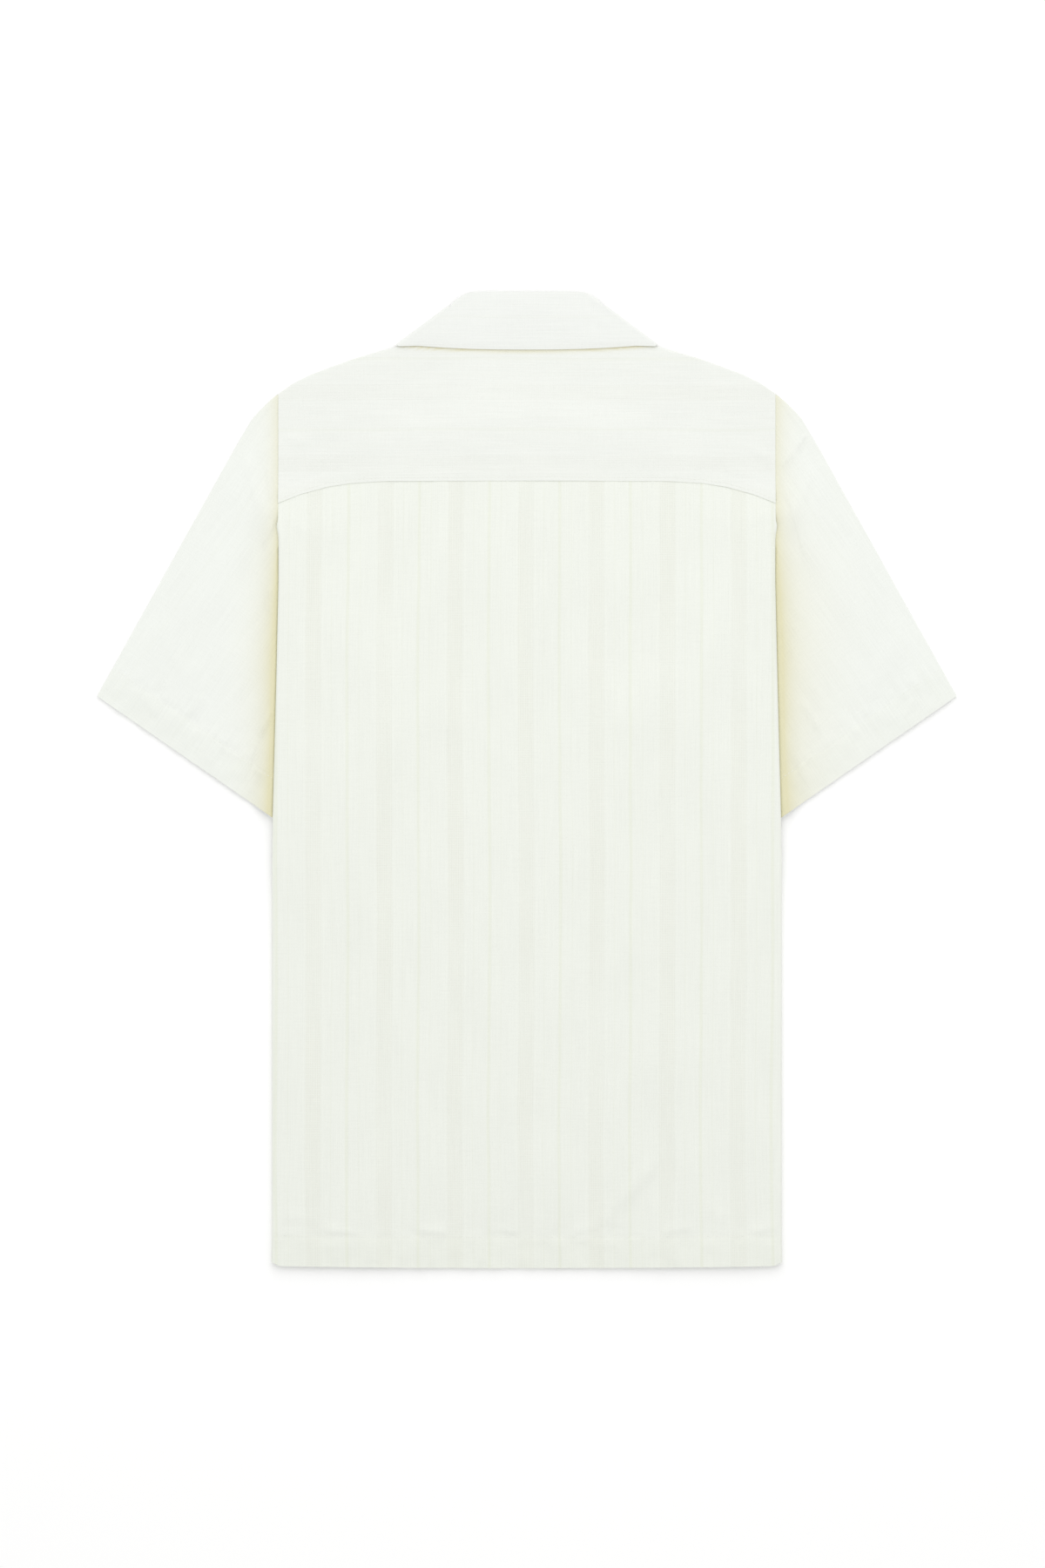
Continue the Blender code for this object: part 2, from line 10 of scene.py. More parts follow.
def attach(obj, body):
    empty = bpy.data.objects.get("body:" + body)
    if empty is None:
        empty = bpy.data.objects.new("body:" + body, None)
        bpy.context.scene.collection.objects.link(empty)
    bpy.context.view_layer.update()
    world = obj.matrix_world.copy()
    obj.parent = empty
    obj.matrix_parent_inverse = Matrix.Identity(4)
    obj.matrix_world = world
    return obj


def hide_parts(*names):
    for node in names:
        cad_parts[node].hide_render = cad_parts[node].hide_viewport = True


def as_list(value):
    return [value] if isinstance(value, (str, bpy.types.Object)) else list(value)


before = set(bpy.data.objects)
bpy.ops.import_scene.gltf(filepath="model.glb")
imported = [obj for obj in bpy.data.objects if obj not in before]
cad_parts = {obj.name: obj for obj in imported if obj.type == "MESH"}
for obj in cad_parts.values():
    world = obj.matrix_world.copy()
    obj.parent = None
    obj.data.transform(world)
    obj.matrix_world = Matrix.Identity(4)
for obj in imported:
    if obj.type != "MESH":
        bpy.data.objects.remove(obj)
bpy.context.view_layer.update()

# Sizes are in millimetres unless a name says otherwise. +X is the viewer's right, +Y the collar.
mm = 0.001

# How the plies of cloth lie on each other
plies = {
    "half": 0.35,          # half the cloth's thickness
    "pitch": 1.5,          # from one ply to the next
    "middle": 1.35,        # height between the back and the fronts
    "back": 0.75,
    "front": -0.75,
    "turn": 1.5,           # mean radius of a two-ply fold
    "turnReach": 2.85,
    "smallTurn": 0.75,     # mean radius of a one-ply fold
    "smallReach": 1.35,
    "gap": 0.3,
}

# Body: half widths by height, and how far each side is tucked under
body = {
    "hem": -380.5,
    "hemRise": 1.8,
    "hemBand": 24.0,
    "cornerRound": 2.6,
    "underarm": 46.0,
    "edge": [(-380.5, 199.6), (-360.0, 199.0), (-70.0, 199.0), (-29.0, 198.4), (78.0, 195.6),
             (155.0, 193.9), (302.0, 194.1)],
    "tuck": [(-380.5, 67.0), (-100.0, 65.0), (46.0, 62.0), (62.0, 55.0), (85.0, 42.0), (112.0, 28.0),
             (140.0, 16.0), (165.0, 8.0), (185.0, 2.6), (200.0, 0.0)],
    "seamPull": [(174.0, 0.0), (185.0, 0.103), (196.0, 0.206), (215.0, 0.619), (226.0, 0.747),
                 (233.6, 1.0)],
    "turnBegins": 207.0,
    "turnFull": 187.0,
    "sideX": 199.0,
    "overRise": 0.45,
}
hemStitchY = body["hem"] + body["hemBand"]

# Soft rises over what lies beneath, and how the back spans them more gently
rises = {
    "run": 30.0, "tuckTop": 213.0, "tuckFull": 193.0, "tuckMargin": 6.0,
    "collarFullX": 106.0, "collarClearX": 134.0, "collarFullY": 203.0, "collarClearY": 183.0,
    "sleeveMargin": 16.0, "sleeveFullY": -56.0, "sleeveClearY": -100.0,
    "closingFullX": 22.0, "closingClearX": 58.0, "closingFullY": 186.0, "closingClearY": 203.0,
    "overlapFullY": 240.0, "overlapClearY": 275.0,
    "buttonRoom": 2.3, "ease": 1.6, "hemEase": 1.1, "ridge": 2.6,
}
topSpan = {"run": 78.0, "tuckTop": 246.0, "tuckFull": 188.0, "sleeveClearY": -150.0,
           "collarClearX": 150.0, "collarClearY": 90.0}

yokeCut = {
    "seam": [(0.0, 233.6), (112.0, 233.4), (138.0, 231.9), (155.0, 229.3), (177.0, 223.2),
             (190.0, 217.9), (200.0, 214.0)],
    "shoulder": [(0.0, 370.0), (87.0, 342.6), (101.0, 338.4), (131.6, 330.1), (151.0, 323.3),
                 (169.0, 316.5), (182.6, 309.7), (194.0, 301.6)],
    "neck": [(0.0, 351.0), (45.0, 350.6), (70.0, 348.6), (87.0, 342.6)],
    "neckHalf": 87.0,
    "shoulderReturn": 18.0,
}


def smooth(amount):
    amount = max(0.0, min(1.0, amount))
    return amount * amount * (3 - 2 * amount)


def ramp(value, start, full):
    return smooth((value - start) / (full - start))


def mix(a, b, share):
    return a + (b - a) * share


def between(a, b, share):
    return tuple(mix(p, q, share) for p, q in zip(a, b))


def shifted(point, way, distance):
    return point[0] + way[0] * distance, point[1] + way[1] * distance


# Unit direction and length from a to b
def wayTo(a, b):
    length = hypot(b[0] - a[0], b[1] - a[1])
    return ((b[0] - a[0]) / length, (b[1] - a[1]) / length), length


# How far a plan point lies past an origin, along a direction
def beyond(x, y, origin, way):
    return (x - origin[0]) * way[0] + (y - origin[1]) * way[1]


def steps(count):
    return [i / count for i in range(count + 1)]


# Values between marks, each given with the number of steps that lead to it
def spread(marks):
    values = [marks[0][0]]
    for (a, _), (b, count) in zip(marks, marks[1:]):
        values += [mix(a, b, share) for share in steps(count)[1:]]
    return values


tableKeys = {}


def lookUp(table, key):
    if id(table) not in tableKeys:
        tableKeys[id(table)] = [row[0] for row in table]
    keys = tableKeys[id(table)]
    i = max(1, min(len(keys) - 1, bisect_right(keys, key)))
    share = (key - keys[i - 1]) / (keys[i] - keys[i - 1])
    return mix(table[i - 1][1], table[i][1], max(0.0, min(1.0, share)))


def along(points, share):
    lengths = [hypot(b[0] - a[0], b[1] - a[1]) for a, b in zip(points, points[1:])]
    left = share * sum(lengths)
    for a, b, length in zip(points, points[1:], lengths):
        if left <= length:
            return between(a[:2], b[:2], left / length)
        left -= length
    return tuple(points[-1][:2])


def grain(x, y, seed):
    return noise.noise(Vector((x, y, seed)))


# Creases given one by one: each is x, y, x, y, half width and height, soft at both ends
def creased(creases, x, y):
    total = 0.0
    for x0, y0, x1, y1, width, height in creases:
        if not min(x0, x1) - 3 * width < x < max(x0, x1) + 3 * width:
            continue
        dx, dy = x1 - x0, y1 - y0
        share = max(0.0, min(1.0, ((x - x0) * dx + (y - y0) * dy) / (dx * dx + dy * dy)))
        away = hypot(x - x0 - share * dx, y - y0 - share * dy)
        if away < 3 * width:
            total += height * exp(-(away / width) ** 2) * ramp(min(share, 1 - share), 0.0, 0.3)
    return total


# The laid form, the same as the solids'
def bodyEdge(y):
    return lookUp(body["edge"], y)


def tuckWidth(y):
    return lookUp(body["tuck"], y)


def yokeSeam(x):
    return lookUp(yokeCut["seam"], abs(x))


def shoulder(x):
    return lookUp(yokeCut["shoulder"], abs(x))


def turnStart(y):
    return bodyEdge(y) - plies["turnReach"] * ramp(y, body["turnBegins"], body["turnFull"])


def tuckInner(y):
    return bodyEdge(y) - tuckWidth(y) - 1.0


def sleeveInner(y):
    if y >= body["underarm"]:
        return tuckInner(y)
    share = (body["underarm"] - y) / (body["underarm"] - sleeveCut["cuffInner"][1])
    return mix(tuckInner(body["underarm"]), sleeveCut["cuffInner"][0], min(1.0, share))


# Rise over the tucked sides, the sleeves' ends and the collar, which start where a span says
def spanned(x, y, span):
    tuck = tuckInner(y) - rises["tuckMargin"]
    sleeve = sleeveInner(y) - rises["sleeveMargin"]
    sides = ramp(x, tuck - span["run"], tuck)
    lowEnd = ramp(y, span["sleeveClearY"], rises["sleeveFullY"])
    sides += lowEnd * ramp(x, sleeve - span["run"], sleeve)
    collar = ramp(y, span["collarClearY"], rises["collarFullY"])
    collar *= ramp(x, span["collarClearX"], rises["collarFullX"])
    return plies["pitch"] * (2 * ramp(y, span["tuckTop"], span["tuckFull"]) * sides + collar)


@lru_cache(maxsize=None)
def lift(x, y):
    return spanned(abs(x), y, rises)


# How much higher the back lies than the plies under it, with nothing on top of it
@lru_cache(maxsize=None)
def topEase(x, y):
    return max(0.0, spanned(abs(x), y, topSpan) - lift(x, y))


# 1 up the body and 0 at the hem, where the plies lie closer
def atHem(y):
    return ramp(y, -372.0, -290.0)


@lru_cache(maxsize=None)
def buttonLift(x, y):
    across = ramp(abs(x), rises["closingClearX"], rises["closingFullX"])
    return rises["buttonRoom"] * across * ramp(y, rises["closingClearY"], rises["closingFullY"]) * atHem(y)


@lru_cache(maxsize=None)
def overlapLift(x, y):
    layers = 1 + ramp(y, rises["collarClearY"], rises["collarFullY"])
    across = ramp(x, rises["closingClearX"], rises["closingFullX"])
    return plies["pitch"] * layers * across * ramp(y, rises["overlapClearY"], rises["overlapFullY"])


@lru_cache(maxsize=None)
def backLift(x, y):
    x = abs(x)
    ease = rises["ease"] + rises["ridge"] * ramp(x, 110.0, 26.0)
    ease = mix(rises["hemEase"] * ramp(x, 110.0, 60.0), ease, atHem(y))
    return ease * ramp(x, 160.0, 100.0) * ramp(shoulder(x) - y, 40.0, 85.0)


# Past the start of a fold a ply turns round a centre level and runs back beyond it
def turned(past, level, centre, mean):
    if past <= 0:
        return past, level
    radius = level - centre
    angle = min(pi, past / mean)
    return radius * sin(angle) - max(0.0, past - pi * mean), centre + radius * cos(angle)


def sideTurned(x, y, level):
    start = turnStart(y)
    past, level = turned(abs(x) - start, level, -plies["pitch"], plies["turn"])
    return (start + past) * (1 if x >= 0 else -1), y, level


# Small rise of the body's armhole edge, where the sleeve's own edge lies under it
def overSleeve(x, y):
    share = ramp(abs(x), bodyEdge(y) - 8.0, bodyEdge(y)) * ramp(y, 176.0, 192.0) * ramp(y, 304.0, 294.0)
    return share * body["overRise"]


def raised(point, extra=0.0):
    x, y, level = point
    return Vector((x, y, plies["middle"] + level + lift(x, y) + extra)) * mm


# A row's fall from its height at the middle, toward the bent yoke seam
def seamPull(y, x):
    drop = yokeSeam(0.0) - yokeSeam(min(abs(x), body["sideX"]))
    return lookUp(body["seamPull"], y) * drop


def panelY(nominal, x):
    side = min(abs(x), body["sideX"])
    hemRise = body["hemRise"] * ramp(nominal, -270.0, body["hem"]) * (side / body["sideX"]) ** 2
    corner = body["cornerRound"] * ramp(nominal, -372.0, body["hem"]) * ramp(side, 192.0, body["sideX"])
    top = plies["gap"] / 2 * ramp(nominal, 226.0, 233.6)
    return nominal - seamPull(nominal, x) + hemRise + corner - top


# Flat half widths: across the panel, round the side turn and along the tucked part
def sideStations(inner, y, counts):
    flatCount, turnCount, tuckCount = counts
    outer = bodyEdge(y) - plies["gap"] / 2 + tuckWidth(y)
    turnEnd = min(turnStart(y) + pi * plies["turn"], outer - 1.05)
    turnBegin = min(turnStart(y), turnEnd - 1.4)
    return spread([(inner, 0), (turnBegin, flatCount), (turnEnd, turnCount), (outer, tuckCount)])


# Cloth
# A wall of cloth on a lattice: place gives a point of either skin, plan its place in the weave and tone how
# much painted warm shade it gets beside a fold and how far it lies in a doubled hem
def clothWall(name, rows, columns, place, plan, tone, finish, closed=False):
    bm = bmesh.new()
    bmesh.ops.create_grid(bm, x_segments=columns, y_segments=rows, size=1.0)
    rowOf = bm.verts.layers.int.new("row")
    columnOf = bm.verts.layers.int.new("column")
    outerOf = bm.verts.layers.int.new("outer")
    for vert in bm.verts:
        vert[columnOf] = round((vert.co.x + 1) / 2 * columns)
        vert[rowOf] = round((vert.co.y + 1) / 2 * rows)
    for vert in bm.verts:
        vert.co = place(vert[rowOf], vert[columnOf], -1)
    if closed:
        bmesh.ops.remove_doubles(bm, verts=bm.verts[:], dist=1e-6)
    skin = bmesh.ops.extrude_face_region(bm, geom=bm.faces[:])["geom"]
    for vert in skin:
        if isinstance(vert, bmesh.types.BMVert):
            vert.co = place(vert[rowOf], vert[columnOf], 1)
            vert[outerOf] = 1
    # the depth layer carries painted warm shade in its first channel and the doubled hem's share in its second
    depth = bm.verts.layers.float_color.new("depth")
    for vert in bm.verts:
        shade, doubled = tone(vert[rowOf], vert[columnOf], 2 * vert[outerOf] - 1)
        vert[depth] = (shade, doubled, 0.0, 1.0)
    weave = bm.loops.layers.uv.new("weave")
    for face in bm.faces:
        wraps = closed and max(v[columnOf] for v in face.verts) - min(v[columnOf] for v in face.verts) > 1
        for loop in face.loops:
            column = loop.vert[columnOf]
            if wraps and column == 0:
                column = columns
            loop[weave].uv = [value * mm for value in plan(loop.vert[rowOf], column)]
    bmesh.ops.recalc_face_normals(bm, faces=bm.faces[:])
    print(name, len(bm.faces))
    return addPiece(name, bm, finish)


def linked(name, data):
    thing = bpy.data.objects.new(name, data)
    bpy.context.collection.objects.link(thing)
    return thing


def addPiece(name, bm, finish, sharp=50):
    mesh = bpy.data.meshes.new(name)
    bm.to_mesh(mesh)
    bm.free()
    mesh.shade_smooth()
    mesh.set_sharp_from_angle(angle=radians(sharp))
    mesh.materials.append(finish)
    piece = linked(name, mesh)
    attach(piece, "root")
    return piece


# Finishes
def newMaterial(name):
    material = bpy.data.materials.new(name)
    material.use_nodes = True
    return material, material.node_tree, material.node_tree.nodes["Principled BSDF"]


# Each input is given as a value or as the output that leads to it
def setInputs(node, inputs):
    for key, value in inputs.items():
        if isinstance(value, bpy.types.NodeSocket):
            node.id_data.links.new(value, node.inputs[key])
        else:
            node.inputs[key].default_value = value


def addNode(tree, kind, inputs, **settings):
    node = tree.nodes.new("ShaderNode" + kind)
    for key, value in settings.items():
        setattr(node, key, value)
    setInputs(node, inputs)
    return node


def mathNode(tree, operation, first, second):
    return addNode(tree, "Math", {0: first, 1: second}, operation=operation).outputs[0]


def mixColour(tree, share, first, second, blend="MIX"):
    inputs = {0: share, 6: first, 7: second}
    return addNode(tree, "Mix", inputs, data_type="RGBA", blend_type=blend).outputs[2]


def separated(tree, socket):
    return addNode(tree, "SeparateXYZ", {0: socket}).outputs


# 1 on a line of a repeating stripe and 0 away from it
def nearLine(tree, across, centre, halfWidth, soft, period):
    away = mathNode(tree, "PINGPONG", mathNode(tree, "SUBTRACT", across, centre), period / 2)
    inputs = {"Value": away, "From Min": halfWidth + soft, "From Max": halfWidth - soft}
    return addNode(tree, "MapRange", inputs, interpolation_type="SMOOTHSTEP").outputs["Result"]


# Noise about 0, drawn out to the given sizes across and along
def streaks(tree, across, down, sizes):
    place = addNode(tree, "CombineXYZ", {0: mathNode(tree, "DIVIDE", across, sizes[0]),
                                         1: mathNode(tree, "DIVIDE", down, sizes[1])})
    inputs = {"Vector": place.outputs[0], "Scale": 1.0, "Detail": 2.0}
    noiseNode = addNode(tree, "TexNoise", inputs, noise_dimensions="2D")
    return mathNode(tree, "SUBTRACT", noiseNode.outputs[0], 0.5)


# The cotton's stripes, openwork and threads, in metres of cloth across and along the stripes
cotton = {
    "period": 0.0553, "lineAt": -0.0296, "lineHalf": 0.0012, "lineSoft": 0.0006,
    "bandAt": -0.0007, "bandHalf": 0.0060, "bandSoft": 0.0009,
    "ridgeAway": 0.0074, "ridgeHalf": 0.0006, "ridgeSoft": 0.0005,
    "pins": (0.0093, -0.0125), "pinHalf": 0.0004, "pinShare": 0.45,
    "hole": 0.0014, "holeMargin": (0.27, 0.2), "holeShare": 0.7, "thread": 0.00058,
    "patch": (0.045, 0.14), "warp": (0.0009, 0.045), "weft": (0.018, 0.0010), "cloud": (0.030, 0.055),
    "patchGain": 2.2, "patchMean": 0.95, "patchLeast": 0.25, "patchMost": 1.6,
    "lineTint": (0.965, 0.970, 0.925, 1), "bandTint": (0.996, 0.993, 0.985, 1),
    "holeTint": (0.945, 0.94, 0.91, 1), "ridgeTint": (1.012, 1.012, 1.010, 1),
    # paintedFoldShade is a painted warm shade, multiplied in where folds, the body's edge over a sleeve and
    # the collar's edge would shade the cloth
    "paintedFoldShade": (0.885, 0.825, 0.60, 1), "hemTint": (0.990, 0.991, 0.983, 1),
    "warpShade": 0.06, "weftShade": 0.03, "cloudShade": 0.035,
    "bump": {"Strength": 0.35, "Distance": 0.0003},
    "surface": {"Roughness": 0.88, "Sheen Weight": 0.12, "Sheen Roughness": 0.5,
                "Specular IOR Level": 0.25},
}
# how high or deep each shows in the bump
cottonBump = {"threads": 0.25, "warp": 1.6, "weft": 1.2, "holes": -1.2, "line": -0.7, "ridge": 0.8}


def stripedCotton(name, colour, strength):
    material, tree, shader = newMaterial(name)

    def reckon(operation, first, second):
        return mathNode(tree, operation, first, second)

    def added(total, *terms):
        for value, share in terms:
            total = reckon("ADD", total, reckon("MULTIPLY", value, share))
        return total

    # a stripe's line, or the nearer of two
    def stripe(half, soft, *centres):
        lines = [nearLine(tree, across, centre, half, soft, cotton["period"]) for centre in centres]
        return reckon("MAXIMUM", *lines) if len(lines) == 2 else lines[0]

    across, down, _ = separated(tree, addNode(tree, "UVMap", {}, uv_map="weave").outputs[0])
    line = stripe(cotton["lineHalf"], cotton["lineSoft"], cotton["lineAt"])
    band = stripe(cotton["bandHalf"], cotton["bandSoft"], cotton["bandAt"])
    ridge = stripe(cotton["ridgeHalf"], cotton["ridgeSoft"], cotton["bandAt"] + cotton["ridgeAway"],
                   cotton["bandAt"] - cotton["ridgeAway"])
    pin = stripe(cotton["pinHalf"], cotton["pinHalf"], *(cotton["lineAt"] + away for away in cotton["pins"]))
    patch, warp, weft, cloud = (streaks(tree, across, down, cotton[key])
                                for key in ("patch", "warp", "weft", "cloud"))
    patch = added(cotton["patchMean"], (patch, cotton["patchGain"]))
    patch = reckon("MINIMUM", reckon("MAXIMUM", patch, cotton["patchLeast"]), cotton["patchMost"])
    band = reckon("MULTIPLY", band, patch)
    holes = band
    for place, margin in zip((across, down), cotton["holeMargin"]):
        away = reckon("PINGPONG", place, cotton["hole"] / 2)
        holes = reckon("MULTIPLY", holes, reckon("GREATER_THAN", away, cotton["hole"] * margin))
    shade = (1, 1, 1, 1)
    for mark, share, tint, blend in (
            (line, 1.0, "lineTint", "MIX"), (band, 1.0, "bandTint", "MIX"),
            (holes, cotton["holeShare"], "holeTint", "MIX"), (ridge, 1.0, "ridgeTint", "MIX"),
            (pin, cotton["pinShare"], "lineTint", "MULTIPLY")):
        shade = mixColour(tree, reckon("MULTIPLY", mark, share * strength), shade, cotton[tint], blend)
    # the depth attribute's first channel is the share of painted warm shade, its second the doubled hem's
    # share
    depth = addNode(tree, "Attribute", {}, attribute_name="depth")
    folded, doubled, _ = separated(tree, depth.outputs["Vector"])
    # painted warm shade, multiplied in by the first channel
    shade = mixColour(tree, folded, shade, cotton["paintedFoldShade"], "MULTIPLY")
    shade = mixColour(tree, doubled, shade, cotton["hemTint"], "MULTIPLY")
    shade = mixColour(tree, 1.0, shade, (*colour, 1), "MULTIPLY")
    light = added(1.0, (warp, cotton["warpShade"]), (weft, cotton["weftShade"]), (cloud, cotton["cloudShade"]))
    scaled = addNode(tree, "VectorMath", {0: shade, "Scale": light}, operation="SCALE")
    threads = reckon("MULTIPLY", *(reckon("SINE", reckon("MULTIPLY", place, 2 * pi / cotton["thread"]), 0.0)
                                   for place in (across, down)))
    height = added(0.0, (threads, cottonBump["threads"]), (warp, cottonBump["warp"]),
                   (weft, cottonBump["weft"]), (holes, cottonBump["holes"] * strength),
                   (line, cottonBump["line"] * strength), (ridge, cottonBump["ridge"] * strength))
    bump = addNode(tree, "Bump", {**cotton["bump"], "Height": height})
    setInputs(shader, {**cotton["surface"], "Base Color": scaled.outputs[0], "Normal": bump.outputs[0]})
    return material


# Resin or thread: a colour with a slight grain of its own
def plainFinish(name, colour, roughness, grainSize, depth, specular=0.4):
    material, tree, shader = newMaterial(name)
    place = addNode(tree, "TexCoord", {})
    mottle = addNode(tree, "TexNoise", {"Vector": place.outputs["Object"], "Scale": 1 / grainSize})
    dark = tuple(value * (1 - depth) for value in colour)
    shade = mixColour(tree, mottle.outputs[0], (*dark, 1), (*colour, 1))
    setInputs(shader, {"Base Color": shade, "Roughness": roughness, "Specular IOR Level": specular})
    return material


bodyCotton = stripedCotton("body_cotton", (0.812, 0.833, 0.772), 0.85)
yokeCotton = stripedCotton("yoke_cotton", (0.805, 0.822, 0.779), 0.35)
sleeveCotton = stripedCotton("sleeve_cotton", (0.826, 0.848, 0.804), 0.12)
collarCotton = stripedCotton("collar_cotton", (0.803, 0.819, 0.786), 0.2)
threadFinish = plainFinish("sewing_thread", (0.86, 0.87, 0.81), 0.7, 0.0004, 0.12)
resinFinish = plainFinish("button_resin", (0.84, 0.83, 0.78), 0.25, 0.0016, 0.08, 0.5)
print("finishes ready")


# The slight drift of the stripes from side to side down the body
def weaveWave(x, y):
    return 1.5 * grain(x / 260.0, y / 190.0, 3.1) + 0.6 * grain(x / 120.0, y / 60.0, 7.7)


# Back
backRelief = {
    "creases": [
        # long soft ridges and troughs beside the stripes
        (-168, -330, -172, 190, 9, 0.35), (-128, -300, -121, 150, 10, 0.45), (-98, -340, -101, 40, 8, -0.25),
        (-70, -260, -66, 215, 9, 0.40), (-40, -350, -44, -40, 9, 0.35), (-12, -300, -8, 200, 8, 0.30),
        (16, -345, 12, 60, 10, 0.45), (40, -120, 44, 220, 8, -0.20), (64, -330, 69, 120, 10, 0.50),
        (95, -340, 90, 205, 9, 0.35), (120, -300, 126, 20, 10, 0.50), (150, -335, 146, 160, 9, 0.35),
        (176, -280, 179, 120, 8, 0.30), (-150, 40, -153, 205, 6, -0.2), (110, 20, 106, 215, 7, -0.2),
        # small arcs over the hem's stitching
        (-88, -350, -60, -353, 3.2, 1.1), (-24, -349, -2, -354, 3.0, 1.2), (-214, -338, -160, -341, 2.6, 1.9),
        (-160, -349, -132, -354, 3.2, 0.9), (34, -351, 58, -348, 3.0, 0.8), (56, -344, 80, -346, 2.6, 1.3),
        (104, -352, 130, -348, 3.4, 0.9), (140, -330, 156, -346, 5.0, 1.2), (172, -352, 198, -348, 3.4, 1.0),
        # short folds across the doubled hem
        (28, -380, 27, -356, 2.4, 1.0), (43.5, -380, 45, -357, 2.4, -0.9), (60, -380, 58, -356, 2.6, 1.1),
        (113.6, -380, 112, -357, 2.6, 1.0), (164.6, -380, 166, -356, 2.6, 1.1),
        (188, -380, 187, -357, 2.4, 0.9), (-150, -380, -152, -357, 2.8, 0.8),
        (-96, -380, -94, -357, 2.6, 0.7), (-36, -380, -38, -357, 2.6, 0.8),
        # longer folds that run up from the hem
        (52, -352, 108, -288, 6.0, 1.7), (68, -352, 118, -292, 6.0, -0.8), (-2, -362, -7, -316, 3.6, -1.3),
        (-11, -358, -14, -320, 4.0, 1.0), (-120, -352, -128, -300, 5, 0.8),
        (-178, -338, -150, -290, 7, 0.6), (18, -354, 22, -318, 4, 0.6), (166, -350, 160, -280, 6, 0.6),
        # short pulls down from the yoke seam
        (-58, 228, -60, 190, 4, 0.4), (-28, 229, -27, 176, 3.5, 0.3), (8, 229, 10, 186, 4, 0.35),
        (52, 229, 50, 180, 4, 0.4), (88, 228, 90, 188, 3.5, 0.3), (-104, 227, -106, 186, 4, 0.35),
        (132, 224, 136, 178, 4, 0.35), (-140, 223, -146, 180, 4, 0.35),
        # pulls in from the armholes
        (-190, 206, -168, 190, 4, 0.5), (-190, 120, -172, 96, 5, 0.35), (190, 212, 170, 196, 4, 0.5),
        (190, 132, 174, 104, 5, 0.35), (191, 60, 170, 20, 6, 0.3), (-191, 44, -170, 8, 6, 0.3),
    ],
    "ripple": 0.32, "hemStep": 0.45, "hemPucker": 1.35,
}


def inHem(y):
    return ramp(hemStitchY - y, -1.0, 1.0)


# The doubled hem: a step up at its stitching, with the stitches pulling small puckers
def hemShape(x, away, relief):
    away += 1.1 * grain(x / 34.0, 0.0, 27.0)
    inBand = ramp(away, -1.2, 1.4)
    pucker = grain(x / 6.5, away / 14.0, 11.3) * exp(-((away + 2.5) / 6.0) ** 2)
    pucker += 0.7 * grain(x / 10.0, away / 14.0, 5.9) * inBand
    groove = -(0.25 + 0.5 * grain(x / 13.0, 0.0, 61.0)) * exp(-(away / 1.4) ** 2)
    return relief["hemStep"] * inBand + relief["hemPucker"] * pucker + groove


@lru_cache(maxsize=None)
def backHeight(x, y):
    inside = ramp(bodyEdge(y) - abs(x), 3.0, 16.0)
    ripple = grain(x / 15.0, y / 230.0, 1.7) + 0.5 * grain(x / 6.5, y / 90.0, 4.4)
    height = creased(backRelief["creases"], x, y) + backRelief["ripple"] * ripple
    seamAway = yokeSeam(x) - y
    pucker = 0.45 * grain(x / 6.0, 0.0, 21.0) * exp(-(seamAway / 7.0) ** 2) * ramp(seamAway, 0.5, 3.5)
    seamDip = -0.35 * exp(-(seamAway / 3.0) ** 2)
    hem = hemShape(x, hemStitchY - y, backRelief) * ramp(bodyEdge(y) - abs(x), 0.5, 4.0)
    return max(-0.3, (height + pucker) * inside + seamDip + hem)


backCounts = (66, 12, 14)
backRows = spread([(body["hem"], 0), (-348.0, 20), (176.0, 112), (233.6, 28)])


def backPoint(x, nominal, skin):
    y = panelY(nominal, x)
    flatX, y, level = sideTurned(x, y, plies["back"] + skin * plies["half"])
    height = backHeight(x, y) if abs(x) < bodyEdge(y) else 0.0
    height += topEase(flatX, y) * ramp(level, -plies["pitch"], plies["back"] - plies["half"])
    return raised((flatX, y, level), backLift(x, y) + height + overSleeve(x, y))


def makeBack():
    perSide = sum(backCounts)

    def flat(row, column):
        nominal = backRows[row]
        stations = stationRows[row]
        return (1 if column >= perSide else -1) * stations[abs(column - perSide)], nominal

    def place(row, column, skin):
        return backPoint(*flat(row, column), skin)

    def plan(row, column):
        x, y = flat(row, column)
        return x + weaveWave(x, y), y

    def tone(row, column, _):
        return 0.0, inHem(flat(row, column)[1])

    stationRows = [sideStations(0.0, panelY(nominal, body["sideX"]), backCounts) for nominal in backRows]
    return clothWall("back_cloth", len(backRows) - 1, 2 * perSide, place, plan, tone, bodyCotton)


# Yoke
yokeRelief = {
    "creases": [
        (-148, 236, -150, 294, 6, 0.75), (-89, 236, -87, 288, 5, 0.7), (-7, 236, -8, 292, 6, 0.6),
        (58, 236, 60, 282, 6, 0.5), (91, 236, 93, 290, 5, 0.65), (134, 234, 136, 290, 6, 0.7),
        (-118, 300, -60, 302, 6, 0.4), (40, 300, 130, 296, 7, 0.4), (-192, 268, -168, 262, 4, 0.8),
        (192, 252, 172, 258, 4, 0.8), (-176, 246, -150, 250, 5, 0.5), (150, 244, 180, 238, 5, 0.6),
        (-150, 322, -96, 334, 5, 0.4), (100, 334, 152, 320, 5, 0.4), (-40, 240, -38, 268, 4, 0.4),
        (30, 240, 28, 262, 4, 0.4),
    ],
    "ripple": 0.22, "seamRidge": 0.42, "seamWidth": 7.5, "lap": 0.6, "collarShade": 1.7,
}
yokeCounts = {"main": 46, "bend": 8, "tucked": 8, "inner": 32, "outer": 44}


